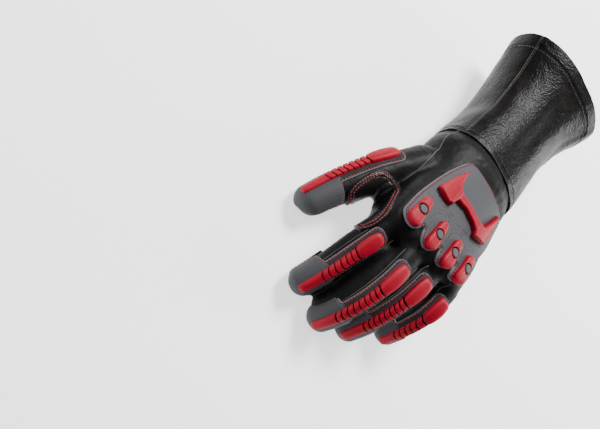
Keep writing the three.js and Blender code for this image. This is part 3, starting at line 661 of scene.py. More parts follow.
def leather(name, dark, light, rough, cell, grain, gloss):
    """Leather: pebbles of a cell size, creases between them, patches of wear and a varying gloss."""
    hide = Finish(name)
    wander = hide.add("TexNoise", Vector=hide.place, Scale=0.35 / cell, Detail=2.0).outputs["Color"]
    warp = hide.add("VectorMath", wander, (cell * 1.2,) * 3, hide.place, operation="MULTIPLY_ADD")
    cells = hide.add("TexVoronoi", feature="SMOOTH_F1", Vector=warp.outputs[0], Scale=1 / cell,
                     Randomness=0.9, Smoothness=0.35)
    pebble = hide.ramp(cells.outputs["Distance"], [(0.15, (1, 1, 1)), (0.55, (0.45,) * 3), (0.8, (0, 0, 0))])
    broad = hide.ramp(hide.noise(28, 4), [(0.35, (0, 0, 0)), (0.7, (1, 1, 1))])
    hide.look("Base Color", hide.mixed(broad, dark, light))
    hide.look("Roughness", hide.math("MULTIPLY_ADD", hide.noise(160, 5, 0.65), 0.28, rough - 0.14))
    hide.look("Specular IOR Level", gloss)
    soft, fine = hide.noise(260, 4, 0.6), hide.noise(2200, 3)
    return hide.bump((soft, 0.3, 0.0006), (pebble, grain, cell * 0.3), (fine, 0.2, 0.0001))


def rubber(name, dark, colour, pale, rough):
    """Moulded rubber: a tone for each point runs from dark to pale, with the rubber's own colour at a half.
    The pieces set their own tones with it, and also painted shade in hollows and painted highlights on
    rounded edges.
    """
    moulding = Finish(name)
    tone_and_painted_light = moulding.add("Attribute", attribute_name="tone_and_painted_light").outputs["Fac"]
    lower = moulding.math("SUBTRACT", tone_and_painted_light, 0.06)
    shift = moulding.math("MULTIPLY_ADD", moulding.noise(90, 4), 0.12, lower)
    stops = [(0.05, dark), (0.42, colour), (0.58, colour), (0.98, pale)]
    moulding.look("Base Color", moulding.ramp(shift, stops))
    scuff = moulding.noise(420, 5, 0.7)
    moulding.look("Roughness", moulding.math("MULTIPLY_ADD", scuff, 0.22, rough - 0.11))
    moulding.look("Specular IOR Level", 0.16)
    ripple, grain = moulding.noise(300, 3), moulding.noise(3200, 2)
    return moulding.bump((ripple, 0.25, 0.0003), (grain, 0.3, 0.00012))


def thread(name, colour):
    """Twisted thread."""
    yarn = Finish(name)
    fibre = yarn.noise(5200, 2)
    yarn.look("Base Color", yarn.mixed(fibre, [0.55 * c for c in colour], colour))
    yarn.look("Roughness", 0.62)
    yarn.look("Sheen Weight", 0.3)
    return yarn.bump((fibre, 0.5, 0.0001))


HAND_LEATHER = leather(
    "hand_leather", (0.0028, 0.0026, 0.0026), (0.006, 0.0055, 0.0054), 0.5,
    cell=0.0008, grain=0.25, gloss=0.12,
)
CUFF_GRAIN = leather(
    "cuff_leather", (0.0026, 0.0022, 0.002), (0.0055, 0.0046, 0.0042), 0.37,
    cell=0.0017, grain=0.4, gloss=0.11,
)
PATCH_LEATHER = leather(
    "patch_leather", (0.003, 0.0029, 0.0032), (0.006, 0.0057, 0.0063), 0.38,
    cell=0.0007, grain=0.25, gloss=0.22,
)
GUARD_RUBBER = rubber(
    "guard_rubber", (0.012, 0.0115, 0.0125), (0.057, 0.058, 0.064), (0.16, 0.15, 0.16), 0.6,
)
BUMPER_RUBBER = rubber(
    "bumper_rubber", (0.006, 0.0015, 0.002), (0.3, 0.0015, 0.015), (0.37, 0.007, 0.023), 0.52,
)
RED_THREAD = thread("red_thread", (0.36, 0.006, 0.015))
DARK_THREAD = thread("dark_thread", (0.005, 0.0048, 0.0046))
# A paler copy of the black leather for the seams' welts: the pale colour is a painted highlight along their
# ridges.
PIPING_PAINTED_HIGHLIGHT = leather(
    "piping_painted_highlight", (0.03, 0.028, 0.027), (0.08, 0.076, 0.073), 0.5, cell=0.0006, grain=0.2, gloss=0.2,
)

digits = {name: Digit(name) for name in DIGITS}


# The leather of the hand.
def web_rings():
    """The bridge between the thumb and the first finger."""
    height = KNUCKLE_RISE - WEB["drop"] * KNUCKLE_HEIGHT
    middle = np.stack([WEB["side"] * PALM_WIDTH / 2, -WEB["along"] * PALM_LENGTH, height], -1) + ORIGIN
    knots = np.vstack([digits["thumb"].middle(WEB_FROM), middle, digits["index"].middle(WEB_TO)])
    share = np.linspace(0, 1, 24)
    path = curve_through(knots, np.linspace(0, 1, len(knots)), share)
    tangent = unit(np.gradient(path, axis=0))
    side = unit(np.cross(UP, tangent))
    return rings_round(path, side, np.cross(tangent, side), WEB_THICKNESS / 2 * mix(1, 0.9, share), 32)


def hand_rings():
    along = np.concatenate([np.linspace(-LAP / PALM_LENGTH, 0.9, 50), np.linspace(0.91, 1, 14)])
    grid, around = grid_of(along, turns(96, 360))
    base, knuckle = hand_frame(grid)
    centre, side, half, top, power = base.values()
    return slant(on_section(centre, side, UP, half, top, top, power, around), knuckle) + ORIGIN


def digit_rings(digit):
    grid, around = grid_of(digit.stations(50), turns(48, 360))
    rings = digit.point(grid, around)
    return drawn_in(rings, (grid[:, 0] - digit.start) * digit.length / (ROOT_ROUND * digit.half[0]))


def drawn_in(rings, inside):
    """Rings drawn towards their middles where inside is under 1, so that the tube ends in a dome."""
    middle = rings.mean(1, keepdims=True)
    size = np.sqrt(1 - (1 - np.clip(inside, 0.02, 1)) ** 2)
    return middle + (rings - middle) * size[:, None, None]


def side_rings(name, across, down, start, end):
    """A second tube beside a digit's own, which fills out the leather between two fingers."""
    digit = digits[name]
    share = np.linspace(0, 1, 40)
    along, around = grid_of(mix(start, end, share), turns(40, 360))
    rings = digit.point(along, around) + digit.side * across - digit.frame(along)[1] * down
    return drawn_in(rings, np.minimum(share / 0.16, (1 - share) / 0.09))


def applied(obj):
    """The object with its modifiers applied."""
    graph = bpy.context.evaluated_depsgraph_get()
    mesh = bpy.data.meshes.new_from_object(obj.evaluated_get(graph))
    obj.modifiers.clear()
    obj.data = mesh
    return obj


def smoothed(points, edges, weight, rounds):
    """Points moved towards the middle of their neighbours, by a weight for each."""
    first, second = edges.T
    count = np.bincount(edges.ravel(), minlength=len(points))[:, None]
    for _ in range(rounds):
        total = np.zeros_like(points)
        np.add.at(total, first, points[second])
        np.add.at(total, second, points[first])
        points = points + weight[:, None] * (total / np.maximum(count, 1) - points)
    return points


def noise_at(points, scale, seed):
    """Smooth noise from -1 to 1 at points, seeded by a shift."""
    shift = Vector((seed * 7.31, seed * 3.17, seed * 5.71))
    values = [noise.noise(Vector(p) * scale + shift) for p in points.reshape(-1, 3)]
    return np.array(values).reshape(points.shape[:-1])


def nearest_digit(points):
    """For each point its distance from the nearest digit's axis, over the thickness, and its share."""
    best = np.full(len(points), 1e9)
    along = np.zeros(len(points))
    for digit in digits.values():
        away = np.linalg.norm(points[:, None] - digit.centre[None], axis=2) / digit.half[None]
        place = away.argmin(1)
        value = away[np.arange(len(points)), place]
        shares = mix(digit.start, 1, place / FINE_STEPS)
        along = np.where(value < best, shares, along)
        best = np.minimum(best, value)
    return best, along


LUMPS = 0.0007
CREASES = 0.0006
FOLDS = 0.00035
FOLD_PLACES = (0.12, 0.46, 0.76)
BACK_PUFF = 0.0018
THUMB_PUFF = 0.005
LOWER_PUFF = 0.0028


def crumple(points, normal):
    """How far the leather's soft lumps, creases and folds stand off its form."""
    nearness, along = nearest_digit(points)
    on_digit = held((1.35 - nearness) / 0.3) * held(along / 0.12)
    lumps = noise_at(points, 34, 1) * LUMPS
    broken = noise_at(points + noise_at(points, 60, 2)[:, None] * 0.004, 150, 3)
    creases = (0.3 - np.abs(broken)) * CREASES
    across = np.zeros(len(points))
    for share in FOLD_PLACES:
        ripple = np.cos((along - share) * 2 * math.pi * 26)
        across += np.exp(-((along - share) / 0.07) ** 2) * ripple
    folds = across * on_digit * FOLDS * held(0.3 - normal[:, 2])
    return lumps * (1 - 0.5 * on_digit) + creases * (1 - 0.4 * on_digit) + folds + wrist_puff(points, normal)


def wrist_puff(points, normal):
    """How far the wrist's leather swells to meet the gauntlet: on its back, its thumb's side and below."""
    before = points[:, 1] - ORIGIN[1]
    puff = BACK_PUFF * np.exp(-((before + 0.011) / 0.0075) ** 2) * held(normal[:, 2] + 0.2)
    puff += THUMB_PUFF * np.exp(-((before + 0.018) / 0.018) ** 2) * held(-normal[:, 0])
    return puff + LOWER_PUFF * held((before + 0.012) / 0.012) * held(-normal[:, 2])


def mesh_rows(items, key, width, kind=float):
    """What a mesh's items hold, as rows of numbers."""
    values = np.empty(len(items) * width, kind)
    items.foreach_get(key, values)
    return values.reshape(-1, width)


def move_points(mesh, points):
    mesh.vertices.foreach_set("co", points.ravel())
    mesh.update()


def hand_leather():
    """One skin over the hand, the digits and the web, with its wrist open."""
    parts = [tube_mesh(hand_rings()), tube_mesh(web_rings())]
    parts += [tube_mesh(digit_rings(digit)) for digit in digits.values()]
    parts += [tube_mesh(side_rings(name, **row)) for name, row in FULL_SIDES.items()]
    obj = merge_meshes("hand_leather", parts, HAND_LEATHER)
    remesh = obj.modifiers.new("skin", "REMESH")
    remesh.mode, remesh.voxel_size, remesh.use_smooth_shade = "VOXEL", SKIN_VOXEL, True
    applied(obj)
    mesh = obj.data
    points = mesh_rows(mesh.vertices, "co", 3)
    edges = mesh_rows(mesh.edges, "vertices", 2, int)
    near_web = np.linalg.norm(points[:, None] - web_rings().mean(1)[None], axis=2).min(1)
    along = nearest_digit(points)[1]
    crotch = held((0.2 - np.abs(along - 0.02)) / 0.1) * (points[:, 1] < on_hand(0.7, 0)[1])
    weight = held((0.026 - near_web) / 0.01)
    points = smoothed(points, edges, np.full(len(points), 0.5), 8)
    points = smoothed(points, edges, 0.6 * np.maximum(weight, 0.8 * crotch), 26)
    move_points(mesh, points)
    normal = mesh_rows(mesh.vertices, "normal", 3)
    points = points + normal * crumple(points, normal)[:, None]
    points[:, 2] = np.maximum(points[:, 2], 0.0001)
    move_points(mesh, points)
    open_wrist(mesh, ORIGIN[1] + 0.85 * LAP)
    return obj


def open_wrist(mesh, limit):
    """Cuts the skin off inside the gauntlet."""
    work = bmesh.new()
    work.from_mesh(mesh)
    geometry = work.verts[:] + work.edges[:] + work.faces[:]
    bmesh.ops.bisect_plane(work, geom=geometry, plane_co=(0, limit, 0), plane_no=(0, 1, 0), clear_outer=True)
    for face in work.faces:
        face.smooth = True
    work.to_mesh(mesh)
    work.free()


def surface_of(obj):
    """A tree that finds the nearest place on an object's mesh."""
    work = bmesh.new()
    work.from_mesh(obj.data)
    tree = BVHTree.FromBMesh(work)
    work.free()
    return tree


def laid(path, surface):
    """A line moved onto a surface, and the surface's normals there."""
    found = [surface.find_nearest(Vector(point))[:2] for point in path]
    return np.array([place for place, _ in found]), np.array([normal for _, normal in found])


skin_piece = hand_leather()
skin = surface_of(skin_piece)
solid = skin_piece.modifiers.new("wall", "SOLIDIFY")
solid.thickness = LEATHER
solid.offset = -1
applied(skin_piece)
keep(skin_piece, "leather", "hand_back", "palm_shell", "thumb_shell", *FINGER_SHELLS)


# The guards and bumpers of the digits.
def guard_grid(digit):
    """Places under a guard, which closes over the tip, and their shares along it."""
    start, length = digit.guard_span()
    end = (0.9999 - start) / length
    body = stepped((0, 0.1, CAP_START, CAP_FULL, 0.95), (16, 44, 16, 30))[:-1]
    share = np.concatenate([body, mix(0.95, end, np.sin(np.linspace(0, math.pi / 2, 16)))])
    rows, columns = grid_of(share, 2 * crowded(61, 0.75) - 1)
    half = read(GUARD_OUTLINE, rows, "half")
    half = np.where(half > 1, 1 + (half - 1) * GUARDS[digit.name]["cap"], half)
    return digit.on_guard(rows, columns * half * GUARD_WIDTH / 2), rows


def open_edge(grid):
    """The two sides and the rear end of a grid, as one line."""
    return np.concatenate([grid[::-1, 0], grid[0, 1:-1], grid[:, -1]])


def make_guard(digit):
    """Moulded base: a welt round its edge, painted pale as a highlight, a dark channel inside that, and a cap
    over the tip.
    """
    base, rows = guard_grid(digit)
    away = base - digit.under_guard(rows)
    edge = open_edge(base)
    inside = distance_to(edge, base, loop=False)
    cap = held((rows - 0.635) / 0.015)
    high = GUARD_THICKNESS * (0.62 * rounded(inside, 0.0006) + 0.38 * rounded(inside - 0.0017, 0.0008))
    high -= 0.0004 * bump_line(inside, 0.0014, 0.0004)
    # Painted highlight: the welt's rounded edge is paler. The dark base and the grey cap are the rubber's own
    # tones.
    shade = mix(0.12, 0.5, cap) + (1 - mix(0.12, 0.5, cap)) * bump_line(inside, 0.0003, 0.0006)
    obj = relief(f"{digit.name}_guard_base", base, away, high, SINK, GUARD_RUBBER, shade)
    keep(obj, "guard_rubber", f"{digit.name}_guard")
    return border_stitches(edge, open_edge(normals_of(base, away)), *GUARD_STITCHES)


def border_stitches(line, normal, inset, lift, loop=False):
    """Stitches a little inside an edge, as mesh parts."""
    path, normal = inset_line(line, normal, inset, loop)
    return stitch_parts(path + normal * lift, normal)


def inset_line(line, normal, inset, loop):
    """A line moved in from an edge along the surface: of its two sides, the one where it gets shorter."""
    tangent = np.roll(line, -1, axis=0) - np.roll(line, 1, axis=0) if loop else np.gradient(line, axis=0)
    sideways = np.cross(normal, unit(tangent)) * inset
    tries = []
    for path in (line + sideways, line - sideways):
        far = distance_to(line, path, loop) > 0.85 * inset
        tries.append((lengths_along(path[far])[-1], path[far], normal[far]))
    _, path, normal = min(tries, key=lambda one: one[0])
    soften(path, 4)
    return path, normal


PAD_SHARE = 0.34
BAR_SHARE = 0.25
BUMPER_FORM = table(
    "along high wide", (0, 0.3, 0.26), (0.008, 0.5, 0.48), (0.03, 0.78, 0.74), (0.07, 0.94, 0.9),
    (0.16, 1, 1), (0.26, 0.96, 0.94), (0.34, 0.86, 0.76), (0.72, 0.74, 0.68), (0.78, 0.62, 0.66),
    (0.96, 0.56, 0.6), (0.99, 0.5, 0.5), (1, 0.42, 0.36),
)
RIB_MARGIN = 0.03
GROOVE = 0.00042
PAD_GROOVE = 0.0006


def make_bumper(digit):
    """Red bumper: a smooth pad, then ribs with curved grooves between them, then a narrow bar; painted shade
    in the grooves and a painted highlight along its shoulder.
    """
    places = (0, 0.08, PAD_SHARE - RIB_MARGIN, 1 - BAR_SHARE + RIB_MARGIN, 1)
    rows, columns = grid_of(stepped(places, (16, 20, 150, 30)), 2 * crowded(23, 0.75) - 1)
    wide = read(BUMPER_FORM, rows, "wide") * BUMPER_WIDTH / 2
    inset = BUMPER_INSET / GUARD_LENGTH
    share = mix(inset, 1 - inset, rows)
    base = digit.on_guard(share, columns * wide)
    inside = edge_distance(base)
    rise = (BUMPER_TOP - ON_GUARD) * read(BUMPER_FORM, rows, "high")
    high = ON_GUARD + rise * (0.55 * rounded(inside, 0.0012) + 0.45 * rounded(inside, 0.0042))
    ribs = GUARDS[digit.name]["ribs"]
    pitch = (1 - PAD_SHARE - BAR_SHARE) / ribs
    groove = np.zeros_like(rows)
    for rib in range(ribs + 1):
        middle = PAD_SHARE + rib * pitch - 0.4 * pitch * (columns ** 2 - 0.3)
        gap = (rows - middle) * digit.guard_span()[1] * digit.length
        groove = np.maximum(groove, held(1.35 - np.abs(gap) / (GROOVE if rib else PAD_GROOVE)))
    high -= rise * 0.72 * groove * held(1.25 - 0.5 * np.abs(columns))
    # Painted shade: the grooves are painted near black. Painted highlight: a pale band along the rounded
    # shoulder.
    shade = np.where(groove > 0.2, 0.0, 0.5 + 0.4 * bump_line(inside, 0.0016, 0.0009))
    away = base - digit.under_guard(share)
    obj = relief(f"{digit.name}_bumper_ribs", base, away, high, ON_GUARD - FOOT_SINK, BUMPER_RUBBER, shade)
    return keep(obj, "bumper_rubber", f"{digit.name}_bumper")


guard_seams = []
for one in digits.values():
    guard_seams += make_guard(one)
    make_bumper(one)
keep(merge_meshes("guard_stitching", guard_seams, RED_THREAD), "bumper_rubber")


# The plate over the knuckles.
def plate_front(across):
    front = np.full_like(across, PLATE_FRONT)
    for lobe in LOBES.values():
        away = held(np.abs(across - lobe["across"]) / lobe["half"])
        front = np.maximum(front, mix(PLATE_FRONT, lobe["front"], (1 - away ** 2.3) ** 0.55))
    return front


def plate_grid():
    """Shares along and across the hand under the plate: its body, then its lobes."""
    first, last = PLATE_SIDES["along"][[0, -1]]
    body = first + (last - first) * np.linspace(0, 1, 90) ** 1.25
    lobed = np.sin(np.linspace(0, math.pi / 2, 26))[1:]
    row, share = grid_of(np.concatenate([body, np.full(len(lobed), last)]), crowded(170, 0.35))
    front = np.concatenate([np.zeros(len(body)), lobed])[:, None] * np.ones_like(share)
    across = mix(read(PLATE_SIDES, row, "thumb"), read(PLATE_SIDES, row, "little"), share)
    return mix(row, plate_front(across), front), across


def pod_distance(along, across):
    """How far places on the plate are from the nearest pod's outline, roughly."""
    best = np.full(along.shape, 1.0)
    for lobe in LOBES.values():
        down = (along - lobe["front"] + POD_SETBACK) * PALM_LENGTH
        aside = (across - lobe["across"] - lobe["splay"] * down / POD_LENGTH) * PALM_WIDTH / 2
        long = np.maximum(np.abs(down) - POD_LENGTH / 2 + POD_WIDTH / 2, 0)
        best = np.minimum(best, np.hypot(long, aside) - POD_WIDTH / 2)
    return best


def make_plate():
    """Moulded plate: a welt painted pale as a highlight, a sunk line for the stitches and waves pressed in
    round the pods, both darkened with painted shade.
    """
    along, across = plate_grid()
    base = on_hand(along, across)
    inside = edge_distance(base)
    around = pod_distance(along, across) + noise_at(base, 55, 9) * 0.0022
    front = held((along - 0.57) / 0.04) * held((inside - 0.0045) / 0.001)
    waves = sum(bump_line(around, place, 0.00045) for place in (0.0042, 0.0078, 0.0115))
    high = PLATE_THICKNESS * (0.6 * rounded(inside, 0.0009) + 0.4 * rounded(inside - 0.0011, 0.0012))
    high -= 0.0005 * bump_line(inside, 0.0021, 0.00045) + 0.0004 * waves * front
    # Painted highlight: the welt's rounded edge is paler. Painted shade: the pressed waves and the sunk
    # stitch line are darker.
    shade = 0.5 + 0.5 * bump_line(inside, 0.0004, 0.00075) - 0.3 * held(waves) * front
    shade -= 0.3 * bump_line(inside, 0.0021, 0.0006)
    obj = relief("knuckle_plate_moulding", base, UP, high, SINK, GUARD_RUBBER, shade)
    keep(obj, "guard_rubber", "knuckle_plate")
    parts = border_stitches(border_of(base), border_of(normals_of(base, UP)), *PLATE_STITCHES, loop=True)
    keep(merge_meshes("plate_stitching", parts, RED_THREAD), "bumper_rubber")


def make_bar():
    """The raised bar across the plate, with a soft bevel all round."""
    first, last = BAR_OUTLINE["across"][[0, -1]]
    across, share = grid_of(mix(first, last, crowded(200, 0.3)), crowded(41, 0.5))
    rear, front, level = [np.interp(across, BAR_OUTLINE["across"], BAR_OUTLINE[name])
                          for name in ("rear", "front", "high")]
    base = on_hand(mix(rear, front, share), across)
    inside = edge_distance(base)
    rise = (BAR_TOP - ON_PLATE) * level
    high = ON_PLATE + rise * (0.35 * rounded(inside, 0.0005) + 0.65 * rounded(inside, 0.0021))
    # Painted highlight along the bevel's shoulder, and painted shade at the foot, where the bar meets the
    # plate.
    shade = 0.5 + 0.35 * bump_line(inside, 0.002, 0.0008) - 0.28 * held(1 - inside / 0.0009)
    obj = relief("knuckle_bar_moulding", base, UP, high, ON_PLATE - FOOT_SINK, BUMPER_RUBBER, shade)
    return keep(obj, "bumper_rubber", "knuckle_bar")


def stud_place(name):
    """The middle of a pod on the hand, the way up there and a way across."""
    lobe = LOBES[name]
    along, across = lobe["front"] - POD_SETBACK, lobe["across"]
    near = on_hand(along + np.array([[0, 0], [0.01, 0.01]]), across + np.array([[0, 0.02], [0, 0.02]]))
    up = normals_of(near, UP)[0, 0]
    return near[0, 0], up, unit(np.cross(up, [0, 1.0, 0]))


def make_pod(name):
    """A long domed pod, fuller in front, with a round seat sunk in its middle for the stud."""
    lobe = LOBES[name]
    end, share = grid_of(2 * crowded(81, 0.6) - 1, 2 * crowded(45, 0.4) - 1)
    past = np.maximum(0, np.abs(end) * POD_LENGTH - POD_LENGTH + POD_WIDTH) / POD_WIDTH
    half = POD_WIDTH / PALM_WIDTH * np.sqrt(1 - past * past) * (1 + 0.28 * end)
    along = lobe["front"] - POD_SETBACK + end * POD_LENGTH / 2 / PALM_LENGTH
    base = on_hand(along, lobe["across"] + lobe["splay"] * end / 2 + share * np.maximum(half, 0.006))
    inside = edge_distance(base)
    away = np.linalg.norm(base - stud_place(name)[0], axis=-1)
    high = ON_PLATE + (POD_TOP - ON_PLATE) * (0.4 * rounded(inside, 0.001) + 0.6 * rounded(inside, 0.0036))
    seat = held((STUD_WIDTH / 2 + 0.0009 - away) / 0.0004)
    high = mix(high, np.minimum(high, ON_PLATE + 0.0022), seat)
    # Painted highlight along the dome's shoulder; the sunk seat round the stud is painted near black as
    # shade.
    shade = mix(0.5 + 0.35 * bump_line(inside, 0.0018, 0.0008), 0.0, seat)
    obj = relief(f"{name}_pod_moulding", base, UP, high, ON_PLATE - FOOT_SINK, BUMPER_RUBBER, shade)
    return keep(obj, "bumper_rubber", f"{name}_pod")


STUD_PROFILE = table(
    "size high", (0.98, 0.003), (1, 0.0062), (0.96, 0.0068), (0.88, 0.0072), (0.7, 0.0073), (0.3, 0.0073),
)


def make_stud(name):
    """A flat round stud with a softened edge."""
    centre, up, side = stud_place(name)
    turn = turns(48)[:, None]
    circle = np.cos(turn) * side + np.sin(turn) * np.cross(up, side)
    rows = zip(*STUD_PROFILE.values())
    rings = [centre + circle * size * STUD_WIDTH / 2 + up * high for size, high in rows]
    points, faces = tube_mesh(np.array(rings))
    obj = new_object(f"{name}_stud_cap", points, faces, GUARD_RUBBER)
    paint(obj, np.full(len(points), 0.66))
    fix_normals(obj)
    return keep(obj, "guard_rubber", f"{name}_stud")


make_plate()
make_bar()
for lobe_name in LOBES:
    make_pod(lobe_name)
    make_stud(lobe_name)


# Reinforcing leather, with double rows of red stitching.
def sew_patch(name, node, base, away, thickness=PATCH_THICKNESS, insets=(0.0014, 0.0034), lumps=0.0):
    """A patch with a row of stitches pressed in at each inset, which come back as mesh parts."""
    inside = edge_distance(base)
    high = thickness * rounded(inside, 0.0009) + lumps * held(inside / 0.004)
    for inset in insets:
        high -= 0.00035 * bump_line(inside, inset, 0.0005)
    keep(relief(name, base, away, high, SINK, PATCH_LEATHER), "patch_leather", node)
    edge, normal = border_of(base), border_of(normals_of(base, away))
    rows = [border_stitches(edge, normal, inset, thickness - 0.00025, loop=True) for inset in insets]
    return sum(rows, [])


def table_grid(rows):
    """Shares along a patch and across it, from its table of edges."""
    along = mix(rows["along"][0], rows["along"][-1], crowded(40, 0.5))
    along, share = grid_of(along, crowded(60, 0.4))
    return along, mix(read(rows, along, "thumb"), read(rows, along, "little"), share)


CROTCH_PATCH = table(
    "along back palm", (0, 50, -24), (0.012, 60, -34), (0.04, 68, -42), (0.1, 75, -48), (0.26, 88, -54),
    (0.36, 104, -57), (0.43, 104, -59), (0.48, 95, -60), (0.54, 89, -60), (0.63, 97, -60), (0.72, 103, -56),
    (0.86, 95, -50), (0.95, 86, -40), (0.985, 78, -30), (1, 68, -20),
)
CROTCH_REACH = 0.011


def crotch_spine():
    """A line inside the leather from the thumb through the web into the first finger."""
    thumb, index = digits["thumb"].middle([0.7, 0.55, 0.42]), digits["index"].middle([0.16, 0.36])
    knots = np.vstack([thumb, web_rings()[8:17:4].mean(1), index])
    places = lengths_along(knots)
    places /= places[-1]
    share = np.linspace(0, 1, 71)
    path = curve_through(knots, places, share)
    soften(path, 12)
    return share, path


def reach_to_skin(path, way):
    """Distances from a line out to the skin, evened out so that leather spans the hollows."""
    reach = np.empty(way.shape[:2])
    for i, j in np.ndindex(reach.shape):
        place, _, _, distance = skin.ray_cast(Vector(path[i]), Vector(way[i, j]))
        limit = mix(1.5, 4, held((j / way.shape[1] - 0.7) / 0.2)) * CROTCH_REACH
        reach[i, j] = CROTCH_REACH if place is None or distance > limit else distance
    for _ in range(16):
        wide = np.pad(reach, 1, mode="edge")
        reach = 0.2 * (reach + wide[:-2, 1:-1] + wide[2:, 1:-1] + wide[1:-1, :-2] + wide[1:-1, 2:])
    return reach


def crotch_patch():
    """Wrinkled glossy leather round the crotch of the thumb, laid on the skin from inside it."""
    share, path = crotch_spine()
    gap = 0.5 * (digits["thumb"].middle(0.62) + digits["index"].middle(0.42))
    tangent = unit(np.gradient(path, axis=0))
    out = gap - path
    out = unit(out - tangent * np.sum(out * tangent, axis=1, keepdims=True))
    up = np.cross(tangent, out)
    up *= np.sign(up[:, 2:3])
    rows, across = grid_of(share, crowded(49, 0.4))
    angle = np.radians(mix(read(CROTCH_PATCH, rows, "palm"), read(CROTCH_PATCH, rows, "back"), across))
    way = out[:, None] * np.cos(angle)[..., None] + up[:, None] * np.sin(angle)[..., None]
    base = smooth_grid(path[:, None] + way * reach_to_skin(path, way)[..., None], 30)
    wrinkle = np.cos(2 * math.pi * (rows * 17 + 0.5 * np.sin(angle * 2.2)))
    wrinkle = wrinkle + 0.6 * np.cos(2 * math.pi * rows * 29 + 2)
    lumps = 0.0007 * wrinkle * bump_line(rows, 0.5, 0.2) + 0.0005 * noise_at(base, 130, 6)
    return sew_patch("crotch_patch", "crotch_shell", base, way, 0.0021, (0.0016, 0.0042), lumps)


def smooth_grid(grid, rounds):
    """A grid of points with its steps evened out."""
    for _ in range(rounds):
        around = (grid[:-2, 1:-1] + grid[2:, 1:-1] + grid[1:-1, :-2] + grid[1:-1, 2:]) / 4
        grid[1:-1, 1:-1] = 0.4 * grid[1:-1, 1:-1] + 0.6 * around
        for edge in (grid[0], grid[-1], grid[:, 0], grid[:, -1]):
            soften(edge, 1)
    return grid


def sew_patches():
    parts = crotch_patch()
    for name, rows in PALM_PATCHES.items():
        parts += sew_patch(f"{name}_leather", name, on_hand(*table_grid(rows), face=-1), -UP)
    shares = crowded(40, 0.5)
    ends = mix(TIP_PATCH["start"], TIP_PATCH["end"], shares)
    along, angle = grid_of(ends, 270 + TIP_PATCH["half"] * (2 * shares - 1))
    for name in FINGERS:
        base = digits[name].point(along, angle)
        away = base - digits[name].middle(along)
        parts += sew_patch(f"{name}_tip_leather", f"{name}_tip_patch", base, away, insets=(0.0016,))
    keep(merge_meshes("patch_stitching", parts, RED_THREAD), "bumper_rubber")


sew_patches()


# The seams' welts, their leather painted pale as a highlight.
HAND_SEAM = table(
    "along side rise", (-0.03, -0.86, 0.049), (0.14, -0.885, 0.046), (0.39, -0.985, 0.0525),
    (0.5, -0.975, 0.051), (0.64, -0.99, 0.0455),
)
SEAM_ANGLES = (41, 139)  # on the fingers' sides
PIPING_RADIUS = 0.0005


def seams():
    """Thin welts along the hand's seam and the fingers' sides, laid on the skin and painted pale as a
    highlight.
    """
    side, ahead = HAND_SEAM["side"] * PALM_WIDTH / 2, -HAND_SEAM["along"] * PALM_LENGTH
    lines = [np.stack([side, ahead, HAND_SEAM["rise"]], -1) + ORIGIN]
    for name in FINGERS:
        lines += [digits[name].point(np.linspace(0.16, 0.8, 40), angle) for angle in SEAM_ANGLES]
    parts = []
    for line in lines:
        path, normal = laid(resample(line, 0.0016), skin)
        soften(path, 1)
        parts.append(tube_mesh(tube_along(path + normal * 0.2 * PIPING_RADIUS, PIPING_RADIUS, normal)))
    keep(merge_meshes("seam_piping", parts, PIPING_PAINTED_HIGHLIGHT), "leather")


seams()


# The gauntlet.
def cuff_folds(along, degrees):
    """Soft folds of the gauntlet beyond its main dents."""
    ridge = 0.0012 * bump_line(degrees - 20 * along, 12, 9) * held(along * 2 - 0.5)
    sweep = 0.0014 * bump_line(degrees + 46 * (along - 0.5), 52, 13) * bump_line(along, 0.62, 0.3)
    valley = 0.0012 * bump_line(degrees, 86, 9) * held(along * 3)
    pucker = 0.0003 * np.sin(np.radians(degrees * 11)) * bump_line(along, 0.02, 0.05)
    return ridge - sweep - valley + pucker


HEM_START = 1 - HEM_WIDTH / CUFF_LENGTH
SKIVE = 0.13  # share of the gauntlet over which its leather thins to the wrist
SKIVED = 0.0008
TAB_START = 0.935
TAB_ANGLES = (142.5, 150)
WELT_RADIUS = 0.00038
WRIST_ARC = np.linspace(-10, 190, 160)


def cuff_height(along, degrees, base):
    """How far the gauntlet's outside stands off its form: folds, lumps, the skived wrist edge and the hem."""
    lumps = 0.0006 * noise_at(base, 40, 4) - 0.0004 * np.abs(noise_at(base, 120, 5))
    high = cuff_folds(along, degrees % 360) + lumps
    near_wrist = held(1 - along / SKIVE) ** 1.5
    high -= 0.0017 * near_wrist * (1 - held(-np.cos(np.radians(degrees))))
    high += 0.0004 * held((along - HEM_START) / 0.012)
    return np.where(base[..., 2] < 0.0012, np.minimum(high, 0), high)


def cuff_surface(along, degrees):
    """Places on the gauntlet's form, the ways out from it and how far its outside stands off it."""
    along, degrees = paired(along, degrees)
    base = on_cuff(along, degrees)
    return base, on_cuff(along, degrees, 0.001) - base, cuff_height(along, degrees, base)


def cuff_panel(name, start, end):
    """One of the gauntlet's two panels, thin at the wrist and with its rim turned in."""
    shares = np.concatenate([crowded(60, 0.4) * HEM_START, np.linspace(1 - 0.08, 1, 22)])
    along, degrees = grid_of(np.unique(shares), mix(start, end, crowded(150, 0.3)))
    base = on_cuff(along, degrees)
    side = np.minimum(distance_to(base[:, 0], base, False), distance_to(base[:, -1], base, False))
    high = cuff_height(along, degrees, base) - 0.0004 * (1 - rounded(side, 0.0012))
    wall = mix(CUFF_LEATHER, HEM_LEATHER, held((along - HEM_START) / 0.08))
    wall = mix(wall, SKIVED, held(1 - along / SKIVE) ** 1.5)
    away = base - np.array([WRIST_X, 0, 0.045]) - np.array([0, 1, 0]) * base[..., 1:2]
    return relief(name, base, away, high, high - wall, CUFF_GRAIN)


def cuff_line(along, degrees):
    """A line on the gauntlet's outside and its normals there."""
    base, away, high = cuff_surface(along, degrees)
    return base + unit(away) * high[:, None], unit(away)


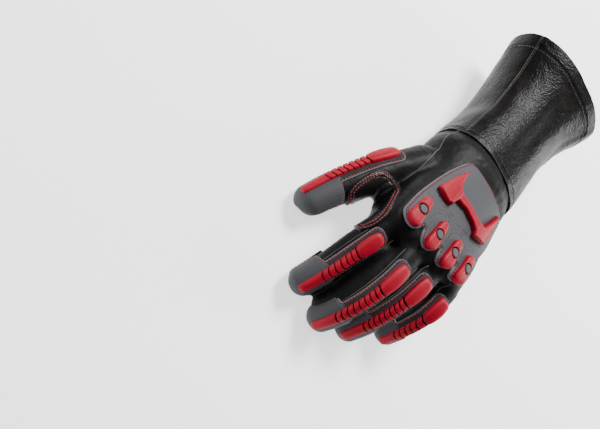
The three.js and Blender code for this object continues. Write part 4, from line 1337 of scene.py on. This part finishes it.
def build_cuff():
    keep(cuff_panel("cuff_back_leather", LITTLE_SEAM, THUMB_SEAM), "cuff_leather", "cuff_back")
    keep(cuff_panel("cuff_palm_leather", THUMB_SEAM, LITTLE_SEAM + 360), "cuff_leather", "cuff_palm")
    # The welts along the thumb's seam and round the wrist use the leather painted pale as a highlight.
    welts = []
    for along, degrees in ((np.linspace(0.02, 0.995, 120), THUMB_SEAM), (0.006, WRIST_ARC)):
        path, normal = cuff_line(along, degrees)
        welts.append(tube_mesh(tube_along(path, WELT_RADIUS, normal)))
    keep(merge_meshes("cuff_welts", welts, PIPING_PAINTED_HIGHLIGHT), "leather")
    rows = []
    for along, degrees in (
        (np.linspace(0.03, 0.98, 120), THUMB_SEAM - 2.6),
        (HEM_START - 0.015, np.linspace(-60, 240, 200)),
        (0.05, WRIST_ARC),
    ):
        rows += stitch_parts(*cuff_line(along, degrees))
    keep(merge_meshes("cuff_stitching", rows, DARK_THREAD), "leather")
    tab_end()


def tab_end():
    """The end of the turned-in rim, lapped over itself beside the seam."""
    shares = crowded(20, 0.6)
    base, away, high = cuff_surface(*grid_of(mix(TAB_START, 1, shares), mix(*TAB_ANGLES, shares)))
    high = high + 0.0015 * rounded(edge_distance(base), 0.0008)
    keep(relief("hem_tab", base, away, high, 0, CUFF_GRAIN), "cuff_leather")


def cuff_patch():
    """An oval reinforcement over the seam on the little finger's side."""
    end, share = grid_of(2 * crowded(60, 0.8) - 1, 2 * crowded(50, 0.4) - 1)
    wide = CUFF_PATCH["half"] * np.sqrt(np.maximum(0.01, 1 - end * end))
    along = CUFF_PATCH["along"] + CUFF_PATCH["reach"] * end
    base, away, high = cuff_surface(along, CUFF_PATCH["angle"] + share * wide)
    parts = sew_patch("cuff_patch_leather", "cuff_patch", base, away, insets=(0.002,), lumps=high)
    keep(merge_meshes("cuff_patch_stitching", parts, DARK_THREAD), "leather")


build_cuff()
cuff_patch()


FLOOR_SIZE = 3.0
LIGHTS = named_rows(
    "place size power", key=((1.05, 0.84, 0.5), 0.6, 15), back=((-0.3, 0.82, 1.2), 0.5, 46),
    fill=((-0.9, -0.9, 1.1), 1.0, 6),
)


def floor_and_lights():
    corners = [(x * FLOOR_SIZE, y * FLOOR_SIZE, 0.0) for x, y in ((-1, -1), (1, -1), (1, 1), (-1, 1))]
    material = bpy.data.materials.new("studio_floor")
    material.use_nodes = True
    shader = material.node_tree.nodes["Principled BSDF"]
    shader.inputs["Base Color"].default_value = (0.9, 0.9, 0.9, 1)
    shader.inputs["Roughness"].default_value = 0.7
    shader.inputs["Emission Color"].default_value = (1, 1, 1, 1)
    shader.inputs["Emission Strength"].default_value = 1.3
    new_object("studio_floor", corners, [(0, 1, 2, 3)], material)
    world = bpy.data.worlds.new("studio")
    bpy.context.scene.world = world
    world.use_nodes = True
    background = world.node_tree.nodes["Background"]
    background.inputs["Color"].default_value = (1, 1, 1, 1)
    background.inputs["Strength"].default_value = 0.2
    for name, row in LIGHTS.items():
        light = bpy.data.lights.new(name, "AREA")
        light.size = row["size"]
        light.energy = row["power"]
        obj = placed(name, light)
        obj.location = row["place"]
        obj.rotation_mode = "QUATERNION"
        obj.rotation_quaternion = (Vector((0, 0, 0.04)) - obj.location).to_track_quat("-Z", "Y")


# The camera, fitted to the photograph's view.
CAMERA_PLACE = Vector((-0.4346, -0.7967, 0.7803)) + Vector((*ORIGIN[:2], 0))
CAMERA_AHEAD = Vector((0.3358, 0.5997, -0.7264))
CAMERA_RIGHT = Vector((0.4835, 0.5522, 0.6792))
CAMERA_LENS = 82.525


def camera():
    data = bpy.data.cameras.new("view")
    data.lens = CAMERA_LENS
    data.sensor_width = 36
    ahead = CAMERA_AHEAD.normalized()
    right = (CAMERA_RIGHT - CAMERA_RIGHT.dot(ahead) * ahead).normalized()
    turn = Matrix((right, right.cross(ahead), -ahead)).transposed().to_4x4()
    obj = placed("view", data)
    obj.matrix_world = Matrix.Translation(CAMERA_PLACE) @ turn
    bpy.context.scene.camera = obj


floor_and_lights()
camera()
